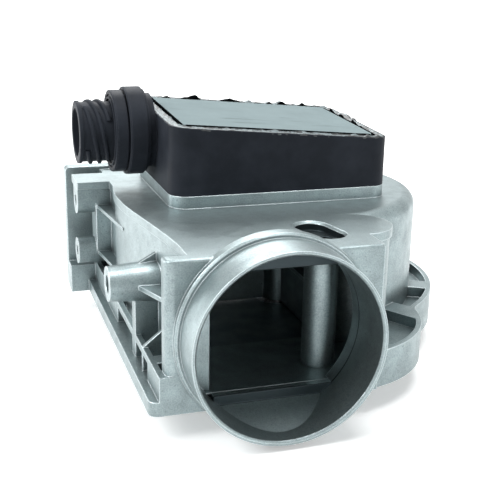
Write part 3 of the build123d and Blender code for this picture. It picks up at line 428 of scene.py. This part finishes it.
def inside_group():
    """Mask of painted shade on the bore's wall, the sill, the oval well, the column, the upper step and the
    rear of the channel, from Object coordinates.
    """
    group, entry, leave = new_group("painted_shade_inside", {}, {"Inside": "NodeSocketFloat"})
    nodes, links = group.nodes, group.links
    place = nodes.new("ShaderNodeTexCoord").outputs["Object"]
    parts = nodes.new("ShaderNodeSeparateXYZ")
    links.new(place, parts.inputs["Vector"])
    x, y, z = (parts.outputs[axis] for axis in "XYZ")
    from_bore = distance_from(nodes, links, place, (0, 0, 0), (1, 0, 1))
    from_well = distance_from(nodes, links, place, WELL_CENTRE, (1, 1, 0))
    from_column = distance_from(nodes, links, place, COLUMN_CENTRE, (1, 1, 0))

    def zone(*limits):
        """One where every measure lies between its two limits."""
        return both(nodes, links, *(within(nodes, links, value, *pair) for value, pair in limits))

    bore = zone((from_bore, BORE_WALL), (y, BORE_SPAN))
    sill = zone((from_bore, INSIDE_BORE), (y, SILL_FACE))
    well = zone((from_well, WELL_REACH), (z, WELL_SPAN))
    column = zone((from_column, COLUMN_REACH), (z, COLUMN_SPAN))
    step = zone((from_bore, INSIDE_BORE), (y, UPPER_STEP_FACE), (z, UPPER_STEP_SPAN))
    rear = zone((x, REAR_WIDTH), (y, REAR_SPAN), (z, REAR_HEIGHT))
    total = remap(nodes, links, bore, 0, 1, 0, BORE_SHADE)
    for mask in (sill, well, column, step, remap(nodes, links, rear, 0, 1, 0, REAR_SHADE)):
        most = add_node(nodes, "ShaderNodeMath", operation="MAXIMUM")
        links.new(total, most.inputs[0])
        links.new(mask, most.inputs[1])
        total = most.outputs["Value"]
    links.new(total, leave.inputs["Inside"])
    return group


def scratch_group():
    """Thin drawn-out scratches along X, from Object coordinates."""
    group, entry, leave = new_group(
        "drawn_scratches", {"Scale": 60.0, "Stretch": 40.0}, {"Height": "NodeSocketFloat"}
    )
    nodes, links = group.nodes, group.links
    place = nodes.new("ShaderNodeTexCoord")
    squeeze = nodes.new("ShaderNodeCombineXYZ")
    squeeze.inputs[0].default_value = 1.0
    for axis in (1, 2):
        links.new(entry.outputs["Stretch"], squeeze.inputs[axis])
    shaped = add_node(nodes, "ShaderNodeVectorMath", operation="MULTIPLY")
    links.new(place.outputs["Object"], shaped.inputs[0])
    links.new(squeeze.outputs["Vector"], shaped.inputs[1])
    texture = add_node(nodes, "ShaderNodeTexNoise", Detail=4.0, Roughness=0.55)
    links.new(shaped.outputs["Vector"], texture.inputs["Vector"])
    links.new(entry.outputs["Scale"], texture.inputs["Scale"])
    links.new(texture.outputs["Fac"], leave.inputs["Height"])
    return group


def bump(nodes, links, shader, height, distance, strength=1.0, normal=None):
    """A Bump node that gives the shader its normal."""
    node = add_node(nodes, "ShaderNodeBump", Strength=strength, Distance=distance)
    links.new(height, node.inputs["Height"])
    if normal is not None:
        links.new(normal, node.inputs["Normal"])
    links.new(node.outputs["Normal"], shader.inputs["Normal"])


# Materials


def casting_material(name, values, groups, metallic=0.85):
    """Dulled die-cast aluminium: grain, mottled skin and pits, edges lighter from wear and a painted
    highlight, dirt and painted shade in the corners, painted shade in recesses and inside.
    """
    material, nodes, links, shader = new_material(name)
    grain = use_group(nodes, groups["grain"], Grain=values.grain)
    edges = use_group(nodes, groups["edge"], Radius=values.edge)
    darker = tuple(c * 0.72 for c in values.colour)
    patches = remap(nodes, links, grain.outputs["Mottle"], 0.35, 0.65)
    skin = mix_colour(nodes, links, patches, darker, values.colour)
    speckled = mix_colour(
        nodes, links, remap(nodes, links, grain.outputs["Height"], 0.35, 0.65, 0.0, 0.2), skin, values.bright
    )
    pits = remap(nodes, links, both(nodes, links, grain.outputs["Pits"], patches), 0, 1, 0, 0.45)
    pitted = mix_colour(nodes, links, pits, speckled, values.grime_and_shade)
    # Painted shade: recesses, then corners (partly dirt), darken toward the dark colour
    recess_shade = mix_colour(
        nodes, links, remap(nodes, links, edges.outputs["Recess"], 0, 1, 0, 0.12), pitted, values.grime_and_shade
    )
    # Painted highlight along the edges, partly wear
    rubbed_and_highlit = mix_colour(nodes, links, edges.outputs["Edge"], recess_shade, values.bright)
    corner_grime_and_shade = mix_colour(nodes, links, edges.outputs["Corner"], rubbed_and_highlit, values.grime_and_shade)
    # Painted shade inside the bore, the well and the channel
    inside = use_group(nodes, groups["inside"]).outputs["Inside"]
    shaded_inside = mix_colour(nodes, links, inside, corner_grime_and_shade, values.painted_shade)
    links.new(shaded_inside, shader.inputs["Base Color"])
    shader.inputs["Metallic"].default_value = metallic
    rough = values.roughness
    links.new(
        remap(nodes, links, grain.outputs["Mottle"], 0.3, 0.7, rough + 0.1, rough - 0.06),
        shader.inputs["Roughness"],
    )
    bump(nodes, links, shader, grain.outputs["Height"], 0.1 * MM, 0.7, edges.outputs["Normal"])
    return material


def plastic_material(name, values, groups, colour=None, roughness=None):
    """Satin moulded plastic with a fine spark-eroded grain and a painted highlight along its edges."""
    material, nodes, links, shader = new_material(name)
    grain = use_group(nodes, groups["grain"], Grain=0.35 * MM, Mottle=14 * MM)
    edges = use_group(nodes, groups["edge"], Radius=values.edge)
    base = colour or values.colour
    dusty = tuple(c * 1.5 + 0.002 for c in base)
    cloud = remap(nodes, links, grain.outputs["Mottle"], 0.4, 0.75)
    body = mix_colour(nodes, links, cloud, base, dusty)
    # Painted highlight: edges, concave ones too, lighter than the body
    edge_highlit = mix_colour(nodes, links, edges.outputs["Edge"], body, tuple(c * 2 + 0.008 for c in base))
    links.new(edge_highlit, shader.inputs["Base Color"])
    rough = roughness or values.roughness
    links.new(
        remap(nodes, links, grain.outputs["Mottle"], 0.3, 0.7, rough - 0.05, rough + 0.1),
        shader.inputs["Roughness"],
    )
    shader.inputs["Specular IOR Level"].default_value = 0.06
    bump(nodes, links, shader, grain.outputs["Height"], 0.05 * MM, 0.5, edges.outputs["Normal"])
    return material


def metal_material(name, groups, colour, roughness):
    """Turned, ground or rolled metal with fine drawn lines."""
    material, nodes, links, shader = new_material(name)
    lines = use_group(nodes, groups["scratch"])
    edges = use_group(nodes, groups["edge"], Radius=0.2 * MM)
    shade = mix_colour(nodes, links, lines.outputs["Height"], tuple(c * 0.8 for c in colour), colour)
    links.new(shade, shader.inputs["Base Color"])
    shader.inputs["Metallic"].default_value = 1.0
    links.new(
        remap(nodes, links, lines.outputs["Height"], 0.3, 0.7, roughness - 0.06, roughness + 0.08),
        shader.inputs["Roughness"],
    )
    bump(nodes, links, shader, lines.outputs["Height"], 0.02 * MM, 0.4, edges.outputs["Normal"])
    return material


def sealant_material(values, groups):
    """Cured grey sealant, black where it was squeezed over the box's edge."""
    material, nodes, links, shader = new_material("bead_finish")
    grain = use_group(nodes, groups["grain"], Grain=0.8 * MM, Mottle=3 * MM)
    rim = add_node(nodes, "ShaderNodeAttribute", attribute_name="flash")
    spread = add_node(nodes, "ShaderNodeMath", operation="ADD")
    links.new(rim.outputs["Fac"], spread.inputs[0])
    links.new(remap(nodes, links, grain.outputs["Mottle"], 0.3, 0.7, -0.5, 0.5), spread.inputs[1])
    black = remap(nodes, links, spread.outputs["Value"], 0.42, 0.62)
    pale = tuple(min(1.0, c * 1.7) for c in values.colour)
    specks = remap(nodes, links, grain.outputs["Height"], 0.5, 0.68)
    bead = mix_colour(nodes, links, specks, values.colour, pale)
    links.new(mix_colour(nodes, links, black, bead, values.flash), shader.inputs["Base Color"])
    shader.inputs["Roughness"].default_value = 0.42
    bump(nodes, links, shader, grain.outputs["Height"], 0.25 * MM, 0.8)
    return material


def lid_material(groups, low, high):
    """Satin pale sheet with faint handling marks and a dark joint along its border."""
    material, nodes, links, shader = new_material("lid_finish")
    lines = use_group(nodes, groups["scratch"], Scale=35.0, Stretch=6.0)
    grain = use_group(nodes, groups["grain"], Grain=0.6 * MM, Mottle=16 * MM)
    base = mix_colour(nodes, links, remap(nodes, links, grain.outputs["Mottle"], 0.35, 0.7), LID_LOW, LID_HIGH)
    marks = remap(nodes, links, lines.outputs["Height"], 0.62, 0.72)
    marked = mix_colour(nodes, links, marks, base, LID_MARKS)
    parts = nodes.new("ShaderNodeSeparateXYZ")
    links.new(nodes.new("ShaderNodeTexCoord").outputs["Object"], parts.inputs["Vector"])
    clear = both(
        nodes,
        links,
        within(nodes, links, parts.outputs["X"], low.x + LID_JOINT, high.x - LID_JOINT),
        within(nodes, links, parts.outputs["Y"], low.y + LID_JOINT, high.y - LID_JOINT),
    )
    links.new(mix_colour(nodes, links, clear, LID_JOINT_COLOUR, marked), shader.inputs["Base Color"])
    shader.inputs["Specular IOR Level"].default_value = 0.0
    shader.inputs["Roughness"].default_value = 0.55
    bump(nodes, links, shader, grain.outputs["Height"], 0.03 * MM, 0.4)
    return material


def board_material(groups, shaft):
    """White ceramic with the dark resistor track and its pads, in arcs round the shaft."""
    material, nodes, links, shader = new_material("board")
    place = nodes.new("ShaderNodeTexCoord")
    reach = distance_from(nodes, links, place.outputs["Object"], shaft, (1, 1, 0))
    colour = (0.8, 0.78, 0.72)
    for low, high, track in ((28 * MM, 32 * MM, (0.03, 0.03, 0.035)), (24 * MM, 26 * MM, (0.6, 0.6, 0.62))):
        colour = mix_colour(nodes, links, within(nodes, links, reach, low, high), colour, track)
    links.new(colour, shader.inputs["Base Color"])
    grain = use_group(nodes, groups["grain"], Grain=0.4 * MM)
    links.new(remap(nodes, links, grain.outputs["Mottle"], 0.3, 0.7, 0.35, 0.5), shader.inputs["Roughness"])
    return material


def rubber_material(groups):
    """Matt black rubber."""
    material, nodes, links, shader = new_material("rubber")
    grain = use_group(nodes, groups["grain"], Grain=0.5 * MM, Mottle=4 * MM)
    patches = remap(nodes, links, grain.outputs["Mottle"], 0.3, 0.7)
    black = mix_colour(nodes, links, patches, (0.012, 0.012, 0.012), (0.03, 0.03, 0.03))
    links.new(black, shader.inputs["Base Color"])
    shader.inputs["Roughness"].default_value = 0.75
    bump(nodes, links, shader, grain.outputs["Height"], 0.1 * MM, 0.5)
    return material


# Mesh tools


def finish_nodes(material, *names):
    """Give CAD nodes a material in every slot."""
    for name in names:
        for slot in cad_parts[name].material_slots:
            slot.material = material


def mesh_piece(name, shape, material, body):
    """Turn a bmesh into an object that rides on a CAD body."""
    mesh = bpy.data.meshes.new(name)
    shape.to_mesh(mesh)
    shape.free()
    mesh.materials.append(material)
    piece = bpy.data.objects.new(name, mesh)
    bpy.context.scene.collection.objects.link(piece)
    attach(piece, body)
    return piece


def rim_height(values, place):
    """Height of the box's sloping rim over a place."""
    return values.rim - values.fall * place.x + values.rise * place.y


def shared_groups():
    """The node groups that the materials share, made once."""
    made = {}
    for key, name, build in (
        ("grain", "surface_grain", grain_group),
        ("edge", "edges_and_corners", edge_group),
        ("scratch", "drawn_scratches", scratch_group),
        ("inside", "painted_shade_inside", inside_group),
    ):
        made[key] = bpy.data.node_groups.get(name) or build()
    return made


# Operators


class SENSOR_OT_casting(bpy.types.Operator):
    """Finish the die casting with its grain, edges lighter from wear and a painted highlight, and dirt and
    painted shade in its corners, recesses and inside
    """

    bl_idname = "sensor.casting"
    bl_label = "Die casting"

    def execute(self, context):
        values = context.scene.sensor_casting
        groups = shared_groups()
        finish_nodes(casting_material("casting", values, groups), "main_housing")
        finish_nodes(casting_material("cover_sheet", values, groups, 0.9), "bottom_cover")
        return {"FINISHED"}


class SENSOR_OT_flap(bpy.types.Operator):
    """Finish the flap, its shaft, pin and bearings"""

    bl_idname = "sensor.flap"
    bl_label = "Flap and shaft"

    def execute(self, context):
        groups = shared_groups()
        finish_nodes(casting_material("flap_casting", context.scene.sensor_casting, groups), "sensor_flap")
        steel = metal_material("ground_steel", groups, (0.58, 0.58, 0.6), 0.25)
        finish_nodes(steel, "flap_shaft", "hub_pin", "upper_bearing", "lower_bearing")
        finish_nodes(rubber_material(groups), "open_stop_buffer", "closed_stop_buffer")
        return {"FINISHED"}


class SENSOR_OT_signal(bpy.types.Operator):
    """Finish the tension wheel, spring, wiper and resistor board"""

    bl_idname = "sensor.signal"
    bl_label = "Wheel, wiper and board"

    def execute(self, context):
        groups = shared_groups()
        plastic = context.scene.sensor_plastic
        white = plastic_material("white_plastic", plastic, groups, (0.72, 0.7, 0.64), 0.5)
        finish_nodes(white, "tension_wheel", "air_temperature_sensor")
        strip = metal_material("spring_steel", groups, (0.5, 0.5, 0.52), 0.3)
        finish_nodes(strip, "return_spring", "wheel_clip", "wiper_arm")
        finish_nodes(strip, "retaining_ring", "pickup_contact", "board_leads")
        brass = metal_material("brass", groups, (0.72, 0.52, 0.22), 0.28)
        finish_nodes(brass, "spring_collet", "counterweight", "connector_pins", "mixture_screw")
        zinc = metal_material("zinc_plate", groups, (0.62, 0.58, 0.45), 0.35)
        finish_nodes(zinc, "clip_screw", "board_screws", "frame_screws")
        finish_nodes(plastic_material("hub_plastic", plastic, groups), "wiper_hub")
        low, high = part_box("flap_shaft")
        shaft = ((low.x + high.x) / 2, (low.y + high.y) / 2, 0)
        finish_nodes(board_material(groups, shaft), "resistor_board")
        return {"FINISHED"}


class SENSOR_OT_box(bpy.types.Operator):
    """Finish the black moulded box and its lid"""

    bl_idname = "sensor.box"
    bl_label = "Black box and lid"

    def execute(self, context):
        groups = shared_groups()
        black = plastic_material("moulded_black", context.scene.sensor_plastic, groups)
        finish_nodes(black, "electronics_housing")
        finish_nodes(lid_material(groups, *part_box("lid_plate")), "lid_plate")
        return {"FINISHED"}


class SENSOR_OT_sheet(bpy.types.Operator):
    """Lay the thin pressed sheet on the lid, standing just above the rim"""

    bl_idname = "sensor.sheet"
    bl_label = "Lid sheet"

    def execute(self, context):
        values = context.scene.sensor_sealant
        low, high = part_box("lid_plate")
        middle = (low + high) / 2
        shape = bmesh.new()
        bmesh.ops.create_grid(shape, x_segments=1, y_segments=1, size=0.5)
        size = Vector((high.x - low.x - SHEET_INSET, high.y - low.y - SHEET_INSET, 1))
        bmesh.ops.scale(shape, verts=shape.verts, vec=size)
        bmesh.ops.translate(shape, verts=shape.verts, vec=(middle.x, middle.y, 0))
        bmesh.ops.bevel(
            shape,
            geom=shape.verts,
            affect="VERTICES",
            offset=SHEET_CORNER,
            segments=8,
            profile=0.5,
            material=-1,
        )
        for vert in shape.verts:
            vert.co.z = rim_height(values, vert.co) - SHEET_SINK
        raised = bmesh.ops.extrude_face_region(shape, geom=shape.faces[:])["geom"]
        top = [g for g in raised if isinstance(g, bmesh.types.BMFace)]
        bmesh.ops.translate(shape, verts=top[0].verts, vec=(0, 0, SHEET_THICKNESS))
        bmesh.ops.bevel(
            shape, geom=top[0].edges, affect="EDGES", offset=SHEET_EDGE, segments=2, profile=0.5, material=-1
        )
        bmesh.ops.recalc_face_normals(shape, faces=shape.faces)
        mesh_piece("lid_sheet", shape, bpy.data.materials["lid_finish"], "housing")
        return {"FINISHED"}


class SENSOR_OT_sealant(bpy.types.Operator):
    """Lay the lumpy bead of sealant round the lid"""

    bl_idname = "sensor.sealant"
    bl_label = "Sealant bead"

    def execute(self, context):
        values = context.scene.sensor_sealant
        low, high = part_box("lid_sealant")
        middle = (low + high) / 2
        size = Vector((high.x - low.x + 2 * BEAD_SPREAD, high.y - low.y + 2 * BEAD_SPREAD, 1))
        shape = bmesh.new()
        flash = shape.verts.layers.float.new("flash")
        rows = self.lay_rows(values, shape, middle, size)
        reach = size / 2
        for index, row in enumerate(rows):
            for vert in row:
                across = (vert.co - middle).x / reach.x
                along = (vert.co - middle).y / reach.y
                self.lift(values, vert, flash, index, across, along)
        outline = [e for e in shape.edges if e.is_boundary and all(v in set(rows[0]) for v in e.verts)]
        skirt = bmesh.ops.extrude_edge_only(shape, edges=outline)
        drop = [g for g in skirt["geom"] if isinstance(g, bmesh.types.BMVert)]
        bmesh.ops.translate(shape, verts=drop, vec=(0, 0, -BEAD_SKIRT))
        bmesh.ops.recalc_face_normals(shape, faces=shape.faces)
        for face in shape.faces:
            face.smooth = True
        finish = sealant_material(values, shared_groups())
        bead = mesh_piece("sealant_bead", shape, finish, "housing")
        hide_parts("lid_sealant")
        return {"FINISHED"}

    def lay_rows(self, values, shape, middle, size):
        """A flat ring with rounded corners; returns its rows of vertices, the outer one first."""
        bmesh.ops.create_grid(shape, x_segments=1, y_segments=1, size=0.5)
        bmesh.ops.scale(shape, verts=shape.verts, vec=size)
        bmesh.ops.translate(shape, verts=shape.verts, vec=(middle.x, middle.y, 0))
        bmesh.ops.bevel(
            shape,
            geom=shape.verts,
            affect="VERTICES",
            offset=BEAD_CORNER,
            segments=12,
            profile=0.5,
            material=-1,
        )
        straight = [e for e in shape.edges if e.calc_length() > BEAD_STRAIGHT]
        bmesh.ops.subdivide_edges(shape, edges=straight, cuts=BEAD_CUTS)
        rows = [list(shape.verts)]
        plate = shape.faces[:][0]
        for _ in BEAD_HEIGHTS[1:]:
            before = set(shape.verts)
            bmesh.ops.inset_region(
                shape,
                faces=[plate],
                thickness=values.width / (len(BEAD_HEIGHTS) - 1),
                use_boundary=True,
                use_even_offset=True,
            )
            rows.append([v for v in shape.verts if v not in before])
        bmesh.ops.delete(shape, geom=[plate], context="FACES_ONLY")
        return rows

    def lift(self, values, vert, flash, index, across, along):
        """Raise one vertex to its row's height, with lumps that grow toward the far and right sides."""
        rough = max(0.0, min(1.0, 3 * max(across, along) - 1.5))
        lumps = max(0.0, noise.noise(vert.co * 130) + 0.35 * noise.noise(vert.co * 330))
        crumbs = max(0.0, noise.noise(vert.co * 330) + 0.4 * noise.noise(vert.co * 800))
        ragged = BEAD_SHARES[index] * (rough * 3.0 * lumps + 0.7 * crumbs)
        vert[flash] = BEAD_FLASH[index] + 0.4 * rough
        if index == 0:
            outward = Vector((across, along, 0)).normalized()
            vert.co += outward * 0.5 * values.lump * noise.noise(vert.co * 600)
        vert.co.z = rim_height(values, vert.co) + BEAD_HEIGHTS[index] * MM + ragged * values.lump


class SENSOR_OT_plug(bpy.types.Operator):
    """Wind the coarse ridges round the plug barrel and add its lip and collar rims"""

    bl_idname = "sensor.plug"
    bl_label = "Plug ridges"

    def execute(self, context):
        values = context.scene.sensor_plug
        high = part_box("electronics_housing")[1]
        pins_low, pins_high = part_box("connector_pins")
        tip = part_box("electronics_housing")[0].x
        self.centre = Vector((tip, (pins_low.y + pins_high.y) / 2, high.z - values.collar))
        self.wind_ridges(values, tip + values.lip + 0.6 * values.width)
        self.turn_rims(values, tip)
        return {"FINISHED"}

    def dress(self, name, shape, width):
        """Give a plug piece the box's plastic and rounded edges."""
        bmesh.ops.recalc_face_normals(shape, faces=shape.faces)
        piece = mesh_piece(name, shape, bpy.data.materials["moulded_black"], "housing")
        rounding = piece.modifiers.new("rounding", "BEVEL")
        rounding.width = width
        rounding.segments = 2
        rounding.limit_method = "ANGLE"

    def wind_ridges(self, values, start):
        """The ridges wound round the barrel, one for each start."""
        shape = bmesh.new()
        steps = 80
        half = values.width / 2
        for number in range(values.starts):
            profile = [
                shape.verts.new((start + x, self.centre.y, self.centre.z + values.radius + z))
                for x, z in (
                    (-half, -0.2 * MM),
                    (-half * 0.5, values.height),
                    (half * 0.5, values.height),
                    (half, -0.2 * MM),
                )
            ]
            face = shape.faces.new(profile)
            turn = Matrix.Rotation(2 * math.pi * (number + 0.3) / values.starts, 3, "X")
            bmesh.ops.rotate(shape, verts=profile, cent=self.centre, matrix=turn)
            bmesh.ops.spin(
                shape,
                geom=[face],
                cent=self.centre,
                axis=(1, 0, 0),
                dvec=(values.length / steps, 0, 0),
                angle=2 * math.pi * values.length / values.lead,
                steps=steps,
            )
        self.dress("plug_ridges", shape, 0.35 * MM)

    def turn_rims(self, values, tip):
        """The lip at the barrel's tip and the raised rims on the faces of the collars."""
        shape = bmesh.new()
        lip = (tip + values.lip / 2, values.radius, values.lip / 2, LIP_HEIGHT)
        for x, radius, width, height in (lip, *COLLAR_RIMS):
            foot = -height / 2
            ring = [
                shape.verts.new((x + along, self.centre.y, self.centre.z + radius + out))
                for along, out in ((-width, foot), (-width, height), (width, height), (width, foot))
            ]
            edges = [shape.edges.new((ring[i], ring[(i + 1) % 4])) for i in range(4)]
            bmesh.ops.spin(
                shape,
                geom=ring + edges,
                cent=self.centre,
                axis=(1, 0, 0),
                angle=2 * math.pi,
                steps=64,
                use_merge=True,
            )
        self.dress("plug_rims", shape, 0.3 * MM)


class SENSOR_OT_studio(bpy.types.Operator):
    """Set the floor, the lamps, the world and the photograph's camera"""

    bl_idname = "sensor.studio"
    bl_label = "Studio"

    def execute(self, context):
        values = context.scene.sensor_studio
        floor_z = cad_bounds[0][2]
        self.add_floor(context, values, floor_z)
        self.add_lamps(context)
        self.add_world(context)
        self.add_camera(context, values)
        context.scene.view_settings.view_transform = "Standard"
        return {"FINISHED"}

    def add_floor(self, context, values, floor_z):
        """A wide pale floor that shows white and keeps a soft shadow."""
        material, nodes, links, shader = new_material("floor")
        shader.inputs["Base Color"].default_value = (*values.floor, 1)
        shader.inputs["Roughness"].default_value = 0.9
        shape = bmesh.new()
        bmesh.ops.create_grid(shape, x_segments=1, y_segments=1, size=FLOOR_REACH)
        bmesh.ops.translate(shape, verts=shape.verts, vec=(0, 0, floor_z - FLOOR_GAP))
        mesh = bpy.data.meshes.new("floor")
        shape.to_mesh(mesh)
        shape.free()
        mesh.materials.append(material)
        floor = bpy.data.objects.new("floor", mesh)
        context.scene.collection.objects.link(floor)
        shader.inputs["Emission Color"].default_value = (1, 1, 1, 1)
        place = nodes.new("ShaderNodeTexCoord").outputs["Object"]
        reach = distance_from(nodes, links, place, (0, 0, 0), (1, 1, 0))
        glow = remap(nodes, links, reach, 0.15, 1.0, 0.38, 0.9)
        links.new(both(nodes, links, self.seen_rays(nodes, links), glow), shader.inputs["Emission Strength"])

    def seen_rays(self, nodes, links):
        """One for camera, glossy and transmission rays, which see the backdrop as white."""
        path = nodes.new("ShaderNodeLightPath")
        total = path.outputs["Is Camera Ray"]
        for ray in ("Is Glossy Ray", "Is Transmission Ray"):
            most = add_node(nodes, "ShaderNodeMath", operation="MAXIMUM")
            links.new(total, most.inputs[0])
            links.new(path.outputs[ray], most.inputs[1])
            total = most.outputs["Value"]
        return total

    def add_lamps(self, context):
        """A key from the upper left, one low behind it, one above, a fill from the right and one behind."""
        for name, place, size, power in LAMPS:
            data = bpy.data.lights.new(name, "AREA")
            data.size = size
            data.energy = power
            lamp = bpy.data.objects.new(name, data)
            context.scene.collection.objects.link(lamp)
            lamp.location = place
            lamp.rotation_euler = (Vector(LAMP_TARGET) - lamp.location).to_track_quat("-Z", "Y").to_euler()

    def add_world(self, context):
        """White toward the camera and in reflections, and dimmer as light."""
        world = bpy.data.worlds.new("studio")
        world.use_nodes = True
        nodes, links = world.node_tree.nodes, world.node_tree.links
        backdrop = nodes["Background"]
        backdrop.inputs["Color"].default_value = WORLD_COLOUR
        seen = self.seen_rays(nodes, links)
        links.new(remap(nodes, links, seen, 0, 1, WORLD_LIGHT, 1.0), backdrop.inputs["Strength"])
        context.scene.world = world

    def add_camera(self, context, values):
        """The photograph's camera."""
        data = bpy.data.cameras.new("camera")
        data.sensor_width = SENSOR_WIDTH
        data.lens = values.focal * SENSOR_WIDTH / PHOTO_SIDE
        data.clip_start = 0.01
        camera = bpy.data.objects.new("camera", data)
        context.scene.collection.objects.link(camera)
        turned = (
            Matrix.Rotation(-values.heading, 4, "Z")
            @ Matrix.Rotation(math.pi / 2 - values.pitch, 4, "X")
            @ Matrix.Rotation(values.roll, 4, "Z")
        )
        camera.matrix_world = Matrix.Translation(values.place) @ turned
        context.scene.camera = camera


class SENSOR_PT_panel(bpy.types.Panel):
    """The sensor's pieces, finishes and studio"""

    bl_label = "Air Flow Sensor"
    bl_idname = "SENSOR_PT_panel"
    bl_space_type = "VIEW_3D"
    bl_region_type = "UI"
    bl_category = "Air Flow"

    def draw(self, context):
        for operator in OPERATORS:
            self.layout.operator(operator.bl_idname)
        for name in PROPERTY_GROUPS:
            values = getattr(context.scene, name)
            for item in values.bl_rna.properties:
                if item.identifier not in ("rna_type", "name"):
                    self.layout.prop(values, item.identifier)


OPERATORS = (
    SENSOR_OT_casting,
    SENSOR_OT_flap,
    SENSOR_OT_signal,
    SENSOR_OT_box,
    SENSOR_OT_sheet,
    SENSOR_OT_sealant,
    SENSOR_OT_plug,
    SENSOR_OT_studio,
)


def register():
    """Register the settings, operators and panel."""
    for name, group in PROPERTY_GROUPS.items():
        bpy.utils.register_class(group)
        setattr(bpy.types.Scene, name, PointerProperty(type=group))
    for cls in (*OPERATORS, SENSOR_PT_panel):
        bpy.utils.register_class(cls)


def unregister():
    """Remove what register added."""
    for cls in (SENSOR_PT_panel, *reversed(OPERATORS)):
        bpy.utils.unregister_class(cls)
    for name, group in PROPERTY_GROUPS.items():
        delattr(bpy.types.Scene, name)
        bpy.utils.unregister_class(group)


def main():
    """Build every piece in order."""
    register()
    bpy.ops.sensor.casting()
    bpy.ops.sensor.flap()
    bpy.ops.sensor.signal()
    bpy.ops.sensor.box()
    bpy.ops.sensor.sheet()
    bpy.ops.sensor.sealant()
    bpy.ops.sensor.plug()
    bpy.ops.sensor.studio()


if __name__ == "__main__":
    main()
